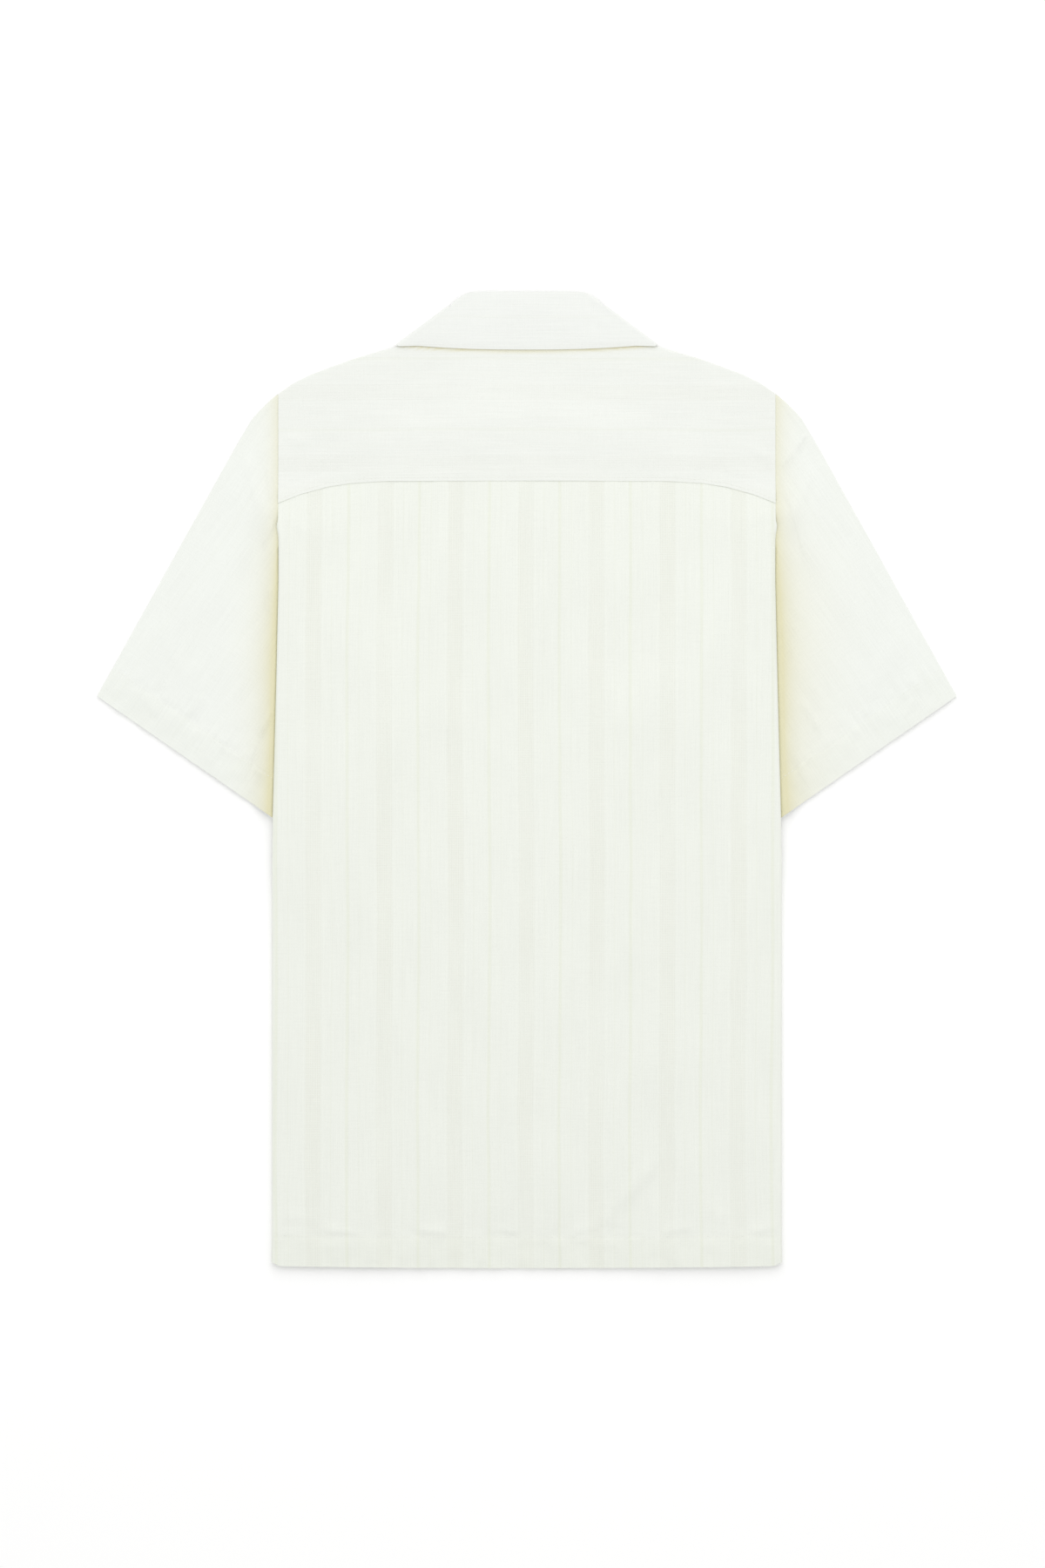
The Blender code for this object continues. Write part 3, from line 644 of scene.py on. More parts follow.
@lru_cache(maxsize=None)
def yokeHeight(x, y):
    underCollar = ramp(y, 336.0, 318.0)
    inside = ramp(bodyEdge(y) - abs(x), 0.5, 8.0) * ramp(shoulder(x) - y, 2.0, 12.0)
    above = y - yokeSeam(x)
    width = yokeRelief["seamWidth"]
    ridge = yokeRelief["seamRidge"] * ramp(above, width + 3.0, width - 1.0)
    pucker = 0.40 * grain(x / 6.0, above / 20.0, 33.0) * ramp(above, 0.5, 3.0)
    pucker *= exp(-((above - 6.0) / 7.0) ** 2)
    ripple = grain(x / 40.0, y / 11.0, 2.2) + 0.5 * grain(x / 9.0, y / 40.0, 8.8)
    height = creased(yokeRelief["creases"], x, y) + yokeRelief["ripple"] * ripple
    return max(-0.3, (height + pucker) * inside * underCollar + ridge)


# A point of the yoke by its flat distance up from the hem; past the shoulder it turns under
def yokePoint(x, distance, skin):
    level = plies["back"] + skin * plies["half"]
    y = distance
    height = yokeHeight(x, distance) + topEase(x, distance)
    if abs(x) > yokeCut["neckHalf"]:
        begin = shoulder(x) - plies["smallReach"]
        past, level = turned(distance - begin, level, 0.0, plies["smallTurn"])
        y = begin + past
        if distance > begin:
            height = 0.0
    return raised((x, y, level), backLift(x, y) + height + overSleeve(x, y))


def makeYoke():
    outerEnd = bodyEdge(300.0) - plies["gap"] / 2
    halfX = spread([(0.0, 0), (yokeCut["neckHalf"], yokeCounts["inner"]), (90.0, 1),
                    (outerEnd, yokeCounts["outer"])])
    perSide = len(halfX) - 1
    rows = yokeCounts["main"] + yokeCounts["bend"] + yokeCounts["tucked"]

    def distances(x):
        bottom = yokeSeam(x) - yokeRelief["lap"]
        if x <= yokeCut["neckHalf"]:
            top = lookUp(yokeCut["neck"], x)
            begin, end, last = top - 1.75, top - 0.7, top
        else:
            begin = shoulder(x) - plies["smallReach"]
            end = begin + pi * plies["smallTurn"]
            last = end + yokeCut["shoulderReturn"]
        return spread([(bottom, 0), (begin, yokeCounts["main"]), (end, yokeCounts["bend"]),
                       (last, yokeCounts["tucked"])])

    upTo = [distances(x) for x in halfX]

    def flat(row, column):
        index = abs(column - perSide)
        return halfX[index] * (1 if column >= perSide else -1), upTo[index][row]

    def place(row, column, skin):
        return yokePoint(*flat(row, column), skin)

    def plan(row, column):
        x, y = flat(row, column)
        return y + 29.2 + 0.8 * grain(x / 90.0, y / 90.0, 12.0), x

    def tone(row, column, skin):
        x, y = flat(row, column)
        # painted warm shade on the outer skin, in a narrow band below the collar's edge across the back
        edge = lookUp(collarEdge, abs(x)) - y
        shade = exp(-(edge / yokeRelief["collarShade"]) ** 2) * ramp(abs(x), 105.0, 101.0)
        return shade * (1 + skin) / 2, 0.5 * ramp(y - yokeSeam(x), 9.0, 6.0)

    collarEdge = [station[2] for station in collarCut["back"]] + [collarCut["corner"]]
    return clothWall("yoke_cloth", rows, 2 * perSide, place, plan, tone, yokeCotton)


# Fronts
frontCut = {
    "break": (-15.0, 205.0), "gorge": (31.0, 300.0), "notch": (58.0, 292.0), "tip": (78.0, 266.0),
    "neck": [(45.0, 307.4), (60.0, 313.8), (75.0, 319.2), (87.4, 323.2)],
    "closingY": [(185.0, 185.0), (196.0, 190.0), (215.0, 200.0), (226.0, 203.5), (233.6, 206.0)],
    "placketHalf": 15.0, "strip": 1.75, "lapel": 12, "bend": 7,
    "sideZone": 150.0,
    "counts": (54, 10, 12),
}
frontRelief = {
    "creases": [
        (60, -330, 64, 40, 10, 0.5), (92, -300, 88, 150, 9, 0.45), (40, -320, 37, -90, 8, 0.4),
        (118, -200, 122, 100, 9, 0.3), (76, 60, 84, 190, 8, 0.4), (50, 40, 46, 180, 7, 0.35),
    ],
    "ripple": 0.22, "hemStep": 0.0, "hemPucker": 0.30,
}
frontRows = spread([(body["hem"], 0), (-348.0, 14), (150.0, 76), (233.6, 20)])
lapelShares = spread([(0.0, 0), (0.1, 5), (1.0, 22)])
rollWay, _ = wayTo(frontCut["break"], frontCut["gorge"])
rollOut = (-rollWay[1], rollWay[0])


def pastRoll(x, y):
    return beyond(x, y, frontCut["break"], rollOut)


# Turns the front out over its roll line, so that the lapel lies on the panel's face
def rollTurned(x, y, level):
    flatPast = pastRoll(x, y) + plies["smallReach"]
    if flatPast <= 0:
        return x, y, level
    past, level = turned(flatPast, level, -plies["pitch"], plies["smallTurn"])
    return *shifted((x, y), rollOut, past - flatPast), level


def rollUnfolded(point):
    distance = 2 * (-pastRoll(*point) - plies["smallReach"]) + pi * plies["smallTurn"]
    return shifted(point, rollOut, distance)


# Soft folds of a front, only where the back leaves room for them
@lru_cache(maxsize=None)
def frontHeight(x, y):
    room = ramp(abs(x), 128.0, 100.0) * ramp(y, 205.0, 180.0) * ramp(abs(x), 16.0, 30.0)
    ripple = grain(x / 14.0, y / 200.0, 14.7) + 0.5 * grain(x / 7.0, y / 80.0, 9.1)
    height = creased(frontRelief["creases"], abs(x), y) + frontRelief["ripple"] * ripple
    hem = hemShape(x, hemStitchY - y, frontRelief)
    return max(0.0, (height + 0.3) * room + hem * ramp(abs(x), 190.0, 170.0) * 0.6)


def makeFront(name, side):
    lapel, bend = frontCut["lapel"], frontCut["bend"]
    folded = lapel + bend
    strip = frontCut["strip"] / folded
    gorge = frontCut["gorge"]
    neckStart = shifted(gorge, rollOut, -plies["smallReach"])
    lapelTop = [(gorge[0] - 0.6, gorge[1] + 0.3)]
    lapelTop += [rollUnfolded(frontCut["notch"]), rollUnfolded(frontCut["tip"])]
    neck = [neckStart] + [(x, y - plies["gap"]) for x, y in frontCut["neck"]]
    drop = plies["smallReach"] + yokeCut["shoulderReturn"] + plies["gap"]
    inner = -frontCut["placketHalf"] + frontCut["strip"]
    columns = folded + sum(frontCut["counts"])
    bodyRows = len(frontRows)
    rows = bodyRows + len(lapelShares) - 2
    neckColumns = 20
    stationRows = [sideStations(inner, panelY(nominal, body["sideX"]), frontCut["counts"])
                   for nominal in frontRows]
    topStations = sideStations(inner, 302.0, frontCut["counts"])

    def rowY(nominal, x):
        y = panelY(nominal, x)
        if nominal <= frontCut["closingY"][0][0]:
            return y
        return mix(lookUp(frontCut["closingY"], nominal), y, ramp(x, 20.0, 90.0))

    def bodyFlat(row, column):
        nominal = frontRows[row]
        if column < folded:
            return -frontCut["placketHalf"] + column * strip, rowY(nominal, 0.0)
        x = stationRows[row][column - folded]
        return x, rowY(nominal, min(x, body["sideX"]))

    def topFlat(column):
        index = column - folded
        if index <= neckColumns:
            return along(neck, index / neckColumns)
        x = mix(neck[-1][0], topStations[-1], (index - neckColumns) / (columns - folded - neckColumns))
        return x, shoulder(x) - drop

    def flat(row, column):
        if row < bodyRows:
            return bodyFlat(row, column)
        share = lapelShares[row - bodyRows + 1]
        if column >= folded:
            return between(bodyFlat(bodyRows - 1, column), topFlat(column), share)
        axis = between(bodyFlat(bodyRows - 1, folded), neckStart, share)
        if column < lapel:
            tip = along(lapelTop, 1 - column / lapel)
            return between(bodyFlat(bodyRows - 1, column), tip, share)
        near = (folded - column) * strip
        away = mix(near, (folded - column) / bend * pi * plies["smallTurn"], min(1.0, share / 0.1))
        return shifted(axis, rollOut, away)

    def place(row, column, skin):
        x, y = flat(row, column)
        level = plies["front"] + skin * plies["half"]
        height = frontHeight(side * x, y) if x < frontCut["sideZone"] else 0.0
        if x > frontCut["sideZone"]:
            x, y, level = sideTurned(x, y, level)
        elif y > frontCut["break"][1] - 6.0:
            x, y, level = rollTurned(x, y, level)
        extra = buttonLift(x, y) + (overlapLift(side * x, y) if side > 0 else 0.0)
        return raised((side * x, y, level), extra + height)

    def plan(row, column):
        x, y = flat(row, column)
        return side * x + weaveWave(side * x, y) + 27.0, y

    def tone(row, column, _):
        return 0.0, inHem(flat(row, column)[1])

    return clothWall(name, rows, columns, place, plan, tone, bodyCotton)


# Sleeves
sleeveCut = {
    "top": [(194.8, 301.0), (200.6, 296.1), (207.7, 289.3), (213.9, 282.5), (226.1, 262.1), (335.6, 65.6)],
    "cuffInner": (182.2, -40.5),
    "clear": 0.6, "lap": 1.6, "lapDrop": 0.45, "fillet": 3.0, "hemBand": 25.0,
    "across": 92, "bend": 10, "down": 128,
}
# creases are in plan on each sleeve, away from the middle of the shirt
sleeveRelief = {
    # shade, wideShade and wideReach set the painted warm shade beside the body's edge: a reach and strength
    # per side, then a wider, fainter band
    "shade": {-1: (7.5, 1.15), 1: (9.0, 1.25)}, "wideShade": 0.25, "wideReach": {-1: 22.0, 1: 42.0},
    -1: [(267, 52, 254, 70, 2.0, -0.9), (263, 50, 251, 67, 2.6, 0.9), (222, -2, 199, 54, 2.0, 1.4),
         (214, -6, 197, 34, 2.0, 0.9), (207, 180, 196, 204, 1.9, 1.3), (204, 130, 198, 152, 1.9, 1.2),
         (208, 32, 198, 57, 1.9, 1.3), (206, 286, 197, 262, 4, -1.0), (203, 250, 197, 214, 2.4, 1.0),
         (222, 262, 205, 200, 5, 0.9), (246, 200, 226, 110, 9, 0.7), (288, 128, 262, 70, 8, 0.7),
         (300, 70, 288, 48, 4, 0.8), (240, 20, 226, 60, 4, 0.6), (284, 60, 276, 84, 3, 0.6),
         (232, -14, 222, 10, 3, 0.7), (250, 10, 243, 30, 2.6, 0.7)],
    1: [(258, 40, 246, 62, 2.0, -0.8), (220, -8, 200, 40, 2.2, 1.3), (220, 272, 209, 255, 2.4, 1.2),
        (197, 242, 211, 258, 2.4, 1.0), (200, 236, 220, 167, 2.2, 1.1), (206, 90, 199, 128, 2.0, 1.1),
        (212, 64, 231, 36, 2.2, 1.1), (212, 22, 201, 66, 2.2, 0.9), (224, 250, 206, 196, 5, 0.9),
        (250, 190, 230, 100, 9, 0.7), (292, 118, 268, 64, 8, 0.7), (304, 66, 292, 46, 4, 0.8),
        (238, 14, 224, 52, 4, 0.6), (270, 60, 262, 82, 3, 0.6), (226, -20, 214, 8, 3, 0.7)],
}


# A plan point between the armhole, the cuff, the top fold and the underarm
@lru_cache(maxsize=None)
def sleevePlan(share, down):
    def armhole(part):
        y = mix(sleeveCut["top"][0][1], body["underarm"], part)
        return mix(tuckInner(y), bodyEdge(y) + sleeveCut["clear"], ramp(y, 150.0, 191.0)), y

    cuffOuter, cuffInner = sleeveCut["top"][-1], sleeveCut["cuffInner"]
    a, b = armhole(share), between(cuffOuter, cuffInner, share)
    c, d = along(sleeveCut["top"], down), between(armhole(1.0), cuffInner, down)
    corners = between(between(armhole(0.0), armhole(1.0), share), between(cuffOuter, cuffInner, share), down)
    return tuple(p + q - r for p, q, r in zip(between(a, b, down), between(c, d, share), corners))


cuffWay, cuffLength = wayTo(sleeveCut["cuffInner"], sleeveCut["top"][-1])
sleeveWay = (cuffWay[1], -cuffWay[0])


# Distance up the sleeve from the cuff's edge
def aboveCuff(x, y):
    return -beyond(x, y, sleeveCut["cuffInner"], sleeveWay)


@lru_cache(maxsize=None)
def sleeveHeight(side, x, y):
    edge = bodyEdge(y)
    past = x - edge
    clear = ramp(past, 0.0, 6.0)
    beside = ramp(past, -2.2, 1.2)
    ride = (lift(edge, y) + topEase(edge, y)) * ramp(past, 40.0, 0.6) * ramp(y, 184.0, 212.0)
    ride *= mix(1.0, beside, ramp(y, 206.0, 194.0))
    fillet = sleeveCut["fillet"] * ramp(past, 18.0, 1.2) * beside * ramp(y, 206.0, 184.0) + ride
    away = sleeveCut["hemBand"] - aboveCuff(x, y)
    acrossCuff = x * cuffWay[0] + y * cuffWay[1]
    ripple = grain(acrossCuff / 16.0, aboveCuff(x, y) / 90.0, 6.0 + side) + 0.3
    hem = hemShape(acrossCuff + 400 * side, away, backRelief)
    folds = creased(sleeveRelief[side], x, y) + 0.28 * ripple + hem
    return max(-0.2, folds * clear) + fillet


# turn is 0 on the upper ply, 1 on the lower one, and between round the top fold or underarm
def sleevePoint(side, turn, share, down, skin):
    way, length = wayTo(sleevePlan(0.0, down), sleevePlan(1.0, down))
    inset = plies["smallReach"] / length
    radius = plies["smallTurn"] + skin * plies["half"]
    x, y = sleevePlan(mix(inset, 1 - inset, share), down)
    angle = pi * turn
    x, y = shifted((x, y), way, radius * sin(angle) * (-1 if share < 0.5 else 1))
    height = plies["middle"] + radius * cos(angle)
    if turn < 0.5:
        height += sleeveHeight(side, x, y) * (1 - 2 * turn) * ramp(min(share, 1 - share), 0.0, 0.04)
        underEdge = ramp(y, 176.0, 190.0) * ramp(down, 0.05, 0.0)
        height -= sleeveCut["lapDrop"] * underEdge
        x -= sleeveCut["lap"] * underEdge * ramp(down, 0.012, 0.0)
    return Vector((side * x, y, height)) * mm


def makeSleeve(name, side):
    across, bend, down = sleeveCut["across"], sleeveCut["bend"], sleeveCut["down"]
    half = bend / 2
    columns = 2 * (across + bend)

    # Fold turn and share across for a column; the columns go over the top ply and back below
    def around(column):
        column = column % columns
        if column < half:
            return 0.5 - 0.5 * column / half, 0.0
        if column <= half + across:
            return 0.0, (column - half) / across
        if column < half + across + bend:
            return (column - half - across) / bend, 1.0
        if column <= columns - half:
            return 1.0, 1 - (column - half - across - bend) / across
        return 1.0 - 0.5 * (column - columns + half) / half, 0.0

    def place(row, column, skin):
        return sleevePoint(side, *around(column), row / down, skin)

    def plan(row, column):
        turn, share = around(column)
        x, y = sleevePlan(share, row / down)
        acrossCuff = x * cuffWay[0] + y * cuffWay[1]
        if turn > 0.5:
            acrossCuff = 2 * cuffLength - acrossCuff
        return acrossCuff, aboveCuff(x, y)

    def tone(row, column, skin):
        turn, share = around(column)
        x, y = sleevePlan(share, row / down)
        doubled = ramp(sleeveCut["hemBand"] - aboveCuff(x, y), -1.0, 1.0)
        if turn >= 0.5 or skin < 0:
            return 0.0, doubled
        # painted warm shade on the upper ply's outer skin, strongest at the body's edge and lower down the
        # armhole
        away = abs(x - bodyEdge(y))
        reach, strength = sleeveRelief["shade"][side]
        wide = reach * (0.85 + 0.35 * grain(y / 60.0, 0.0, 40.0 + side))
        lower = ramp(y, 240.0, 120.0)
        shade = strength * (0.5 + 0.5 * lower) * exp(-away / wide)
        shade += sleeveRelief["wideShade"] * exp(-(away / sleeveRelief["wideReach"][side]) ** 2) * lower
        return shade, doubled

    return clothWall(name, down, columns, place, plan, tone, sleeveCotton, closed=True)


# Collar
# back half of the collar by station: neck seam, roll and free edge
collarCut = {
    "back": [((0.0, 351.3), (0.0, 381.1), (0.0, 335.4)), ((20.0, 351.2), (17.0, 381.1), (22.0, 335.5)),
             ((40.0, 351.0), (32.0, 381.1), (45.0, 336.0)), ((58.0, 350.5), (44.0, 380.6), (67.0, 337.1)),
             ((72.0, 350.0), (52.5, 376.6), (85.0, 338.4))],
    "front": [((86.6, 338.0), (53.6, 346.7), (101.4, 324.0)), ((75.0, 323.2), (46.0, 331.0), (97.5, 308.0)),
              ((52.0, 313.0), (38.5, 315.5), (92.0, 296.0)), ((34.0, 302.6), (31.6, 300.9), (86.0, 288.5))],
    "sideRoll": (60.9, 370.9), "corner": (102.0, 340.3), "sideNeck": 32.0,
    "bend": 12, "finer": 8, "stand": 6, "roll": 12, "fall": 26,
    "puff": 0.75, "edgeDrop": 0.62,
}


def makeCollar():
    roll, corner = collarCut["sideRoll"], collarCut["corner"]
    way, length = wayTo(roll, corner)
    outward = (-way[1], way[0])
    axis = shifted(roll, outward, -plies["turnReach"])
    atSide = (shifted(axis, way, collarCut["sideNeck"]), axis, shifted(axis, way, length))

    def pastAxis(x, y):
        return beyond(x, y, axis, outward)

    def unfolded(point):
        return shifted(point, outward, pi * plies["turn"] - 2 * pastAxis(*point))

    def finer(stations, count):
        dense = [stations[0]]
        for a, b in zip(stations, stations[1:]):
            dense += [tuple(between(p, q, share) for p, q in zip(a, b)) for share in steps(count)[1:]]
        return dense

    def away(share):
        return tuple(shifted(point, outward, share * pi * plies["turn"]) for point in atSide)

    stations = finer(list(collarCut["back"]) + [away(0.0)], collarCut["finer"])
    backColumns = len(stations) - 1
    stations += [away(share) for share in steps(collarCut["bend"])[1:]]
    inFront = [tuple(unfolded(p) for p in station) for station in collarCut["front"]]
    stations += finer([stations[-1]] + inFront, collarCut["finer"])[1:]
    perSide = len(stations) - 1
    stand, rollCount, fall = collarCut["stand"], collarCut["roll"], collarCut["fall"]

    # Plan point, way up to the roll, turn over it and share of the fall, before the fold beside the neck
    def flat(row, column):
        neck, crest, edge = stations[abs(column - perSide)]
        up, _ = wayTo(neck, crest)
        begin = shifted(crest, up, -plies["smallReach"])
        if row <= stand:
            return between(neck, begin, row / stand), up, 0.0, 0.0
        if row < stand + rollCount:
            return begin, up, (row - stand) / rollCount, 0.0
        down = (row - stand - rollCount) / fall
        return between(begin, edge, down), up, 1.0, down

    def place(row, column, skin):
        (x, y), up, turn, down = flat(row, column)
        radius = plies["smallTurn"] + skin * plies["half"]
        x, y = shifted((x, y), up, radius * sin(pi * turn))
        level = plies["pitch"] - radius * cos(pi * turn)
        sign = 1 if column >= perSide else -1
        puff = 0.0
        pastLine = pastAxis(x, y)
        if pastLine > 0:
            past, level = turned(pastLine, level, 0.0, plies["turn"])
            x, y = shifted((x, y), outward, past - pastLine)
        elif turn == 1.0:
            inside = ramp(-pastLine, 1.0, 12.0)
            wave = 1 + 0.6 * grain(sign * x / 26.0, y / 14.0, 17.0)
            puff = collarCut["puff"] * sin(pi * min(1.0, down * 0.92 + 0.08)) * inside * wave
            puff += 0.25 * exp(-((1 - down) / 0.06) ** 2) * (1 + skin) / 2 * inside
            puff -= collarCut["edgeDrop"] * ramp(down, 0.9, 1.0) * inside
        return raised((sign * x, y, level), puff)

    def plan(row, column):
        (x, y), up, turn, down = flat(row, column)
        return y + 12.0 + turn * 40.0, x * (1 if column >= perSide else -1)

    def tone(row, column, skin):
        # painted warm shade on the under skin at the fall's free edge, along the back of the collar
        atBack = ramp(abs(column - perSide), backColumns + 1.0, backColumns - 2.0)
        return ramp(flat(row, column)[3], 0.985, 1.0) * atBack * (1 - skin) / 2, 0.0

    return clothWall("collar_cloth", stand + rollCount + fall, 2 * perSide, place, plan, tone, collarCotton)


print("making the cloth")
backCloth = makeBack()
yokeCloth = makeYoke()
frontLeft = makeFront("front_left_cloth", -1)
frontRight = makeFront("front_right_cloth", 1)
sleeveLeft = makeSleeve("sleeve_left_cloth", -1)
sleeveRight = makeSleeve("sleeve_right_cloth", 1)
collarCloth = makeCollar()

# Sewing
stitch = {"size": (2.4, 0.42, 0.36), "gap": 0.9}


# An ellipsoid of the given length, width and height, for a stitch or a thread
def bead(bm, place, size, segments=8, rings=5):
    half = Matrix.Diagonal((*(value * mm / 2 for value in size), 1))
    bmesh.ops.create_uvsphere(bm, u_segments=segments, v_segments=rings, radius=1.0, matrix=place @ half)


# Stitches along a line of surface points
def sewRow(bm, line):
    passed = 0.0
    marks = [0.0]
    for a, b in zip(line, line[1:]):
        passed += (b - a).length
        marks.append(passed)
    pitch = (stitch["size"][0] + stitch["gap"]) * mm
    count = max(1, int(passed / pitch))
    for i in range(count):
        at = (i + 0.5) * passed / count
        k = max(1, min(len(marks) - 1, bisect_right(marks, at)))
        share = (at - marks[k - 1]) / max(1e-9, marks[k] - marks[k - 1])
        centre = line[k - 1].lerp(line[k], share)
        way = (line[k] - line[k - 1]).normalized()
        across = Vector((0, 0, 1)).cross(way).normalized()
        normal = way.cross(across)
        turn = Matrix((way, across, normal)).transposed().to_4x4()
        bead(bm, Matrix.Translation(centre) @ turn, stitch["size"])


def stitchPiece(name, *lines):
    bm = bmesh.new()
    for line in lines:
        sewRow(bm, line)
    piece = addPiece(name, bm, threadFinish, 80)
    return piece


def backLine(nominal, reach):
    return [backPoint(mix(-reach, reach, share), nominal, 1) for share in steps(220)]


def yokeLine(above, reach):
    return [yokePoint(x, yokeSeam(x) + above, 1)
            for x in (mix(-reach, reach, share) for share in steps(240))]


# Round the sleeve's hem stitching, over the upper or lower ply
def cuffLine(side, turn):
    line = []
    for share in steps(90):
        low, high = 0.6, 1.0
        for _ in range(18):
            down = (low + high) / 2
            x, y = sleevePlan(share, down)
            if aboveCuff(x, y) > sleeveCut["hemBand"]:
                low = down
            else:
                high = down
        line.append(sleevePoint(side, turn, share, low, 1))
    return line


hemStitches = stitchPiece("hem_stitches", backLine(hemStitchY, 193.0))
yokeStitches = stitchPiece("yoke_stitches", yokeLine(2.2, 190.0))
cuffStitchesLeft = stitchPiece("cuff_stitches_left", cuffLine(-1, 0.0), cuffLine(-1, 1.0))
cuffStitchesRight = stitchPiece("cuff_stitches_right", cuffLine(1, 0.0), cuffLine(1, 1.0))
print("sewing done")

# Buttons, and the buttonholes they pass through
buttonMake = {"radius": 5.5, "thickness": 2.0, "dish": 0.55, "dishRadius": 3.7, "hole": 0.55, "holeOff": 0.95,
              "top": 180.0, "pitch": 103.0, "count": 5, "sides": 48, "holeSides": 16,
              "thread": (3.3, 0.55, 0.42), "threadDrop": 0.08,
              "shankRadius": 1.0, "shankHeight": 0.6, "shankMiddle": 0.27}
buttonY = [buttonMake["top"] - i * buttonMake["pitch"] for i in range(buttonMake["count"])]


def ringOf(bm, centre, radius, count, z):
    angles = [2 * pi * i / count for i in range(count)]
    verts = [bm.verts.new(Vector((centre[0] + radius * cos(angle), centre[1] + radius * sin(angle), z)) * mm)
             for angle in angles]
    return [bm.edges.new((a, b)) for a, b in zip(verts, verts[1:] + verts[:1])]


# A four-hole button with its face down, so that the dish and the thread are on the underside
def makeButton(number, y):
    make, sides = buttonMake, buttonMake["sides"]
    bm = bmesh.new()
    rings = ringOf(bm, (0, 0), make["dishRadius"], sides, make["dish"])
    for dx in (-1, 1):
        for dy in (-1, 1):
            centre = (dx * make["holeOff"], dy * make["holeOff"])
            rings += ringOf(bm, centre, make["hole"], make["holeSides"], make["dish"])
    bmesh.ops.triangle_fill(bm, edges=rings, use_beauty=True)
    upper = bmesh.ops.extrude_face_region(bm, geom=bm.faces[:])["geom"]
    rise = (make["thickness"] - make["dish"]) * mm
    bmesh.ops.translate(bm, verts=[v for v in upper if isinstance(v, bmesh.types.BMVert)], vec=(0, 0, rise))
    limit = (make["dishRadius"] - 0.1) * mm
    outside = [f for f in bm.faces if all(v.co.xy.length > limit for v in f.verts) and abs(f.normal.z) < 0.5]
    bmesh.ops.delete(bm, geom=outside, context="FACES_ONLY")
    outer, inner, top = make["radius"], make["dishRadius"], make["thickness"]
    profile = [(inner, make["dish"]), (inner + 0.35, 0.18), (inner + 0.75, 0.0), (outer - 0.4, 0.0),
               (outer - 0.12, 0.12), (outer, 0.4), (outer, top - 0.4), (outer - 0.12, top - 0.12),
               (outer - 0.4, top), (inner, top)]
    verts = [bm.verts.new((x * mm, 0.0, z * mm)) for x, z in profile]
    edges = [bm.edges.new((a, b)) for a, b in zip(verts, verts[1:])]
    bmesh.ops.spin(bm, geom=verts + edges, cent=(0, 0, 0), axis=(0, 0, 1), angle=2 * pi, steps=sides,
                   use_merge=True)
    bmesh.ops.remove_doubles(bm, verts=bm.verts[:], dist=2e-6)
    bmesh.ops.recalc_face_normals(bm, faces=bm.faces[:])
    bmesh.ops.translate(bm, verts=bm.verts[:], vec=(0, y * mm, 0))
    piece = addPiece(f"resin_button_{number}", bm, resinFinish, 40)
    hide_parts(f"button_{number}")


for i, y in enumerate(buttonY):
    makeButton(i + 1, y)


# Crossed thread in each button's dish, and its shank up to the cloth
def makeButtonThread():
    make = buttonMake
    bm = bmesh.new()
    radius = make["shankRadius"] * mm
    for y in buttonY:
        for angle in (45, 135):
            centre = Matrix.Translation((0, y * mm, (make["dish"] - make["threadDrop"]) * mm))
            bead(bm, centre @ Matrix.Rotation(radians(angle), 4, "Z"), make["thread"], 14, 8)
        shank = Matrix.Translation((0, y * mm, (make["thickness"] + make["shankMiddle"]) * mm))
        bmesh.ops.create_cone(bm, cap_ends=True, segments=16, radius1=radius, radius2=radius,
                              depth=make["shankHeight"] * mm, matrix=shank)
    piece = addPiece("button_thread", bm, threadFinish, 60)


makeButtonThread()

buttonholeMake = {"length": 13.5, "stitch": (1.25, 0.55, 0.30), "bar": (2.9, 0.9, 0.4),
                  "off": 0.80, "pitch": 0.62, "barOff": 0.5}


# A point on the outside of a front, which faces the floor
def frontUnder(side, x, y):
    extra = buttonLift(x, y) + (overlapLift(side * x, y) if side > 0 else 0.0)
    level = plies["front"] - plies["half"]
    return raised((side * x, y, level), extra + frontHeight(side * x, y))


# Close stitches along both lips of each slit, and a bar at each end
def makeButtonholes():
    make = buttonholeMake
    bm = bmesh.new()
    for y in buttonY:
        count = int(make["length"] / make["pitch"])
        for i in range(count + 1):
            at = y - make["length"] / 2 + i * make["length"] / count
            for off in (-make["off"], make["off"]):
                bead(bm, Matrix.Translation(frontUnder(-1, off, at)), make["stitch"])
        for end in (-1, 1):
            at = y + end * (make["length"] / 2 + make["barOff"])
            bead(bm, Matrix.Translation(frontUnder(-1, 0.0, at)), make["bar"], 12, 6)
    piece = addPiece("buttonhole_stitches", bm, threadFinish, 80)
    return piece


buttonholes = makeButtonholes()


def frontHemLine(side):
    across = [mix(-13.0, 190.0, share) for share in steps(150)]
    return [frontUnder(side, x, panelY(hemStitchY, x)) for x in across]


def placketLine(side):
    up = [mix(-352.0, 150.0, share) for share in steps(160)]
    return [frontUnder(side, 17.0, y) for y in up]


frontStitchesLeft = stitchPiece("front_stitches_left", frontHemLine(-1), placketLine(-1))
frontStitchesRight = stitchPiece("front_stitches_right", frontHemLine(1))
print("buttons done")

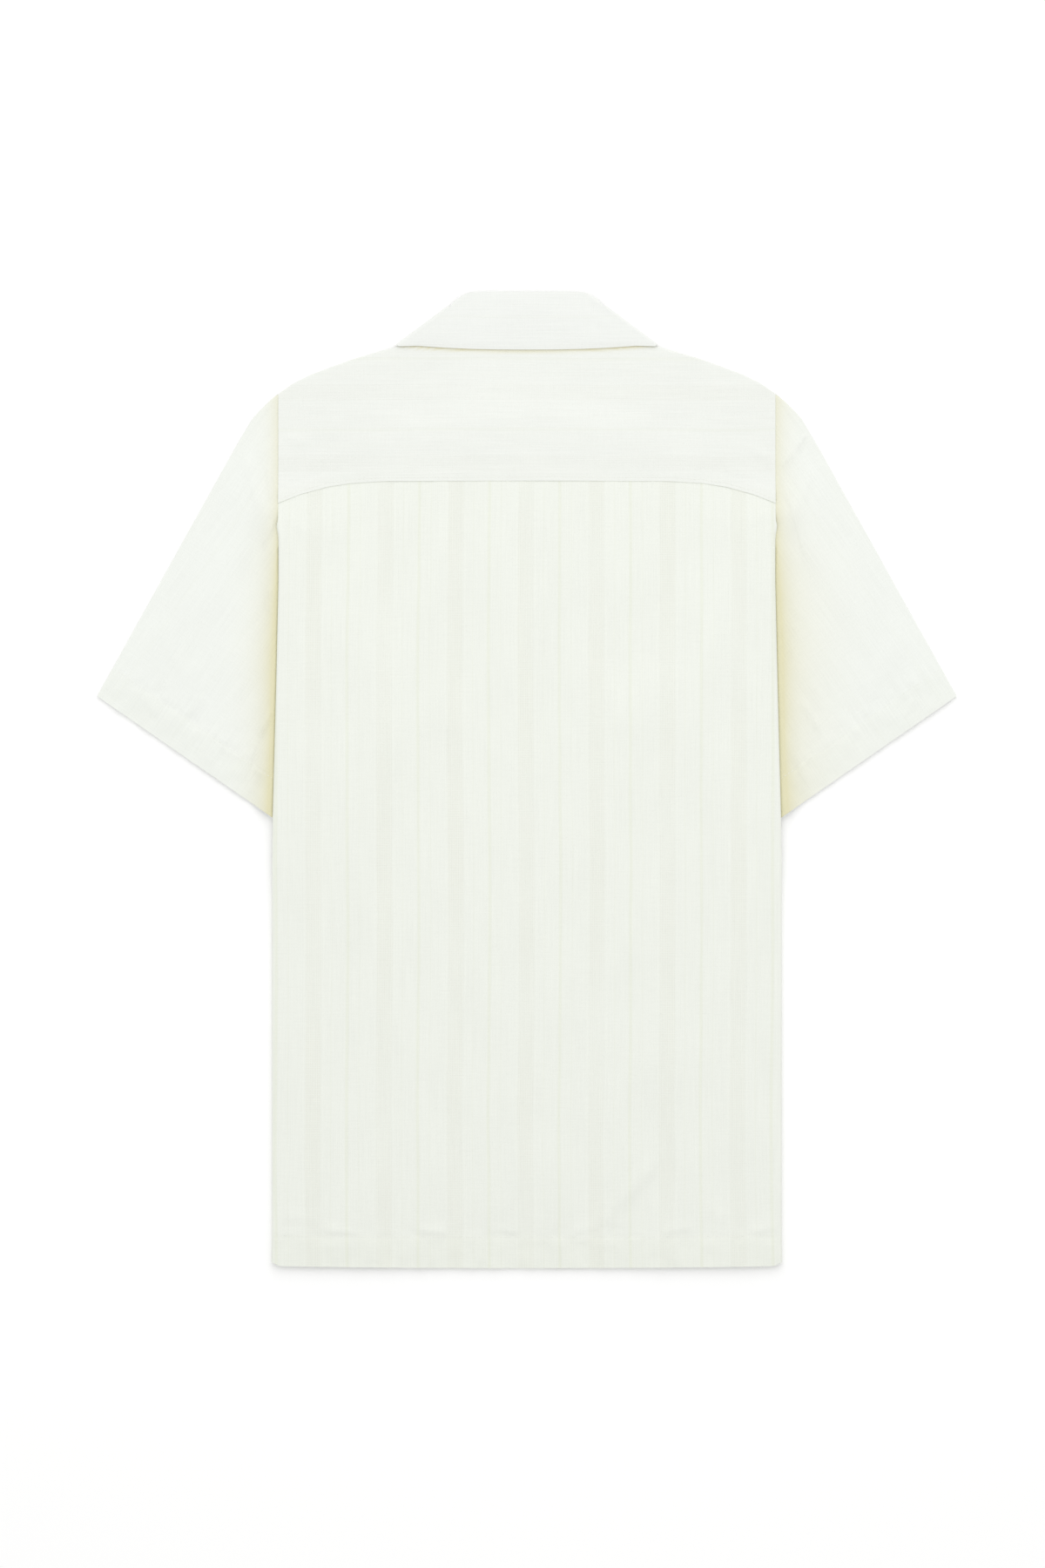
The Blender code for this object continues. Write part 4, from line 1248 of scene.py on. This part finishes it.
# What each cloth stands for, and the size it was cut to
cuts = [
    (backCloth, "back_panel", (0.531, 0.615), 0.308, ["front_left", "front_right"], [hemStitches]),
    (yokeCloth, "yoke", (0.388, 0.148), 0.045, ["front_left", "front_right"], [yokeStitches]),
    (frontLeft, "front_left", (0.300, 0.700), 0.177, ["floor"], [buttonholes, frontStitchesLeft]),
    (frontRight, "front_right", (0.300, 0.700), 0.177, ["floor"], [frontStitchesRight]),
    (sleeveLeft, "sleeve_left", (0.524, 0.275), 0.064, ["floor"], [cuffStitchesLeft]),
    (sleeveRight, "sleeve_right", (0.524, 0.275), 0.064, ["floor"], [cuffStitchesRight]),
    (collarCloth, "collar", (0.400, 0.076), 0.0212, ["yoke"], []),
]

# Floor, light and camera
bm = bmesh.new()
bmesh.ops.create_grid(bm, x_segments=2, y_segments=2, size=4.0)
floorMesh = bpy.data.meshes.new("floor")
bm.to_mesh(floorMesh)
bm.free()
floor = linked("floor", floorMesh)
paper, _, paperShader = newMaterial("floor_white")
setInputs(paperShader, {"Base Color": (0.97, 0.97, 0.965, 1), "Roughness": 0.9, "Specular IOR Level": 0.1})
floorMesh.materials.append(paper)

for piece, node, flat, area, restsOn, sewn in cuts:
    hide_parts(node)
    layer = sum(face.area for face in piece.data.polygons) / 2
    print("cloth", node, "flat", flat, "area", area, "layer", round(layer, 4))
    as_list(restsOn)
    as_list(sewn)

lighting = {"world": 0.875, "key": 19.5, "keySize": 3.0, "keyFrom": (0.08, 1.3, 1.8)}
world = bpy.data.worlds.new("studio")
world.use_nodes = True
setInputs(world.node_tree.nodes["Background"], {"Color": (1.0, 1.0, 1.0, 1), "Strength": lighting["world"]})
bpy.context.scene.world = world
keyLight = bpy.data.lights.new("key", "AREA")
keyLight.shape = "DISK"
keyLight.size = lighting["keySize"]
keyLight.energy = lighting["key"]
key = linked("key", keyLight)
key.location = lighting["keyFrom"]
key.rotation_euler = (-Vector(lighting["keyFrom"])).to_track_quat("-Z", "Y").to_euler()

view = {"x": -3.4, "y": -3.1, "away": 3.0, "frameHeight": 1.224}
lens = bpy.data.cameras.new("camera")
lens.sensor_width = 36.0
lens.lens = 36.0 * view["away"] / view["frameHeight"]
camera = linked("camera", lens)
camera.location = (view["x"] * mm, view["y"] * mm, view["away"])
bpy.context.scene.camera = camera
bpy.context.scene.view_settings.view_transform = "Standard"
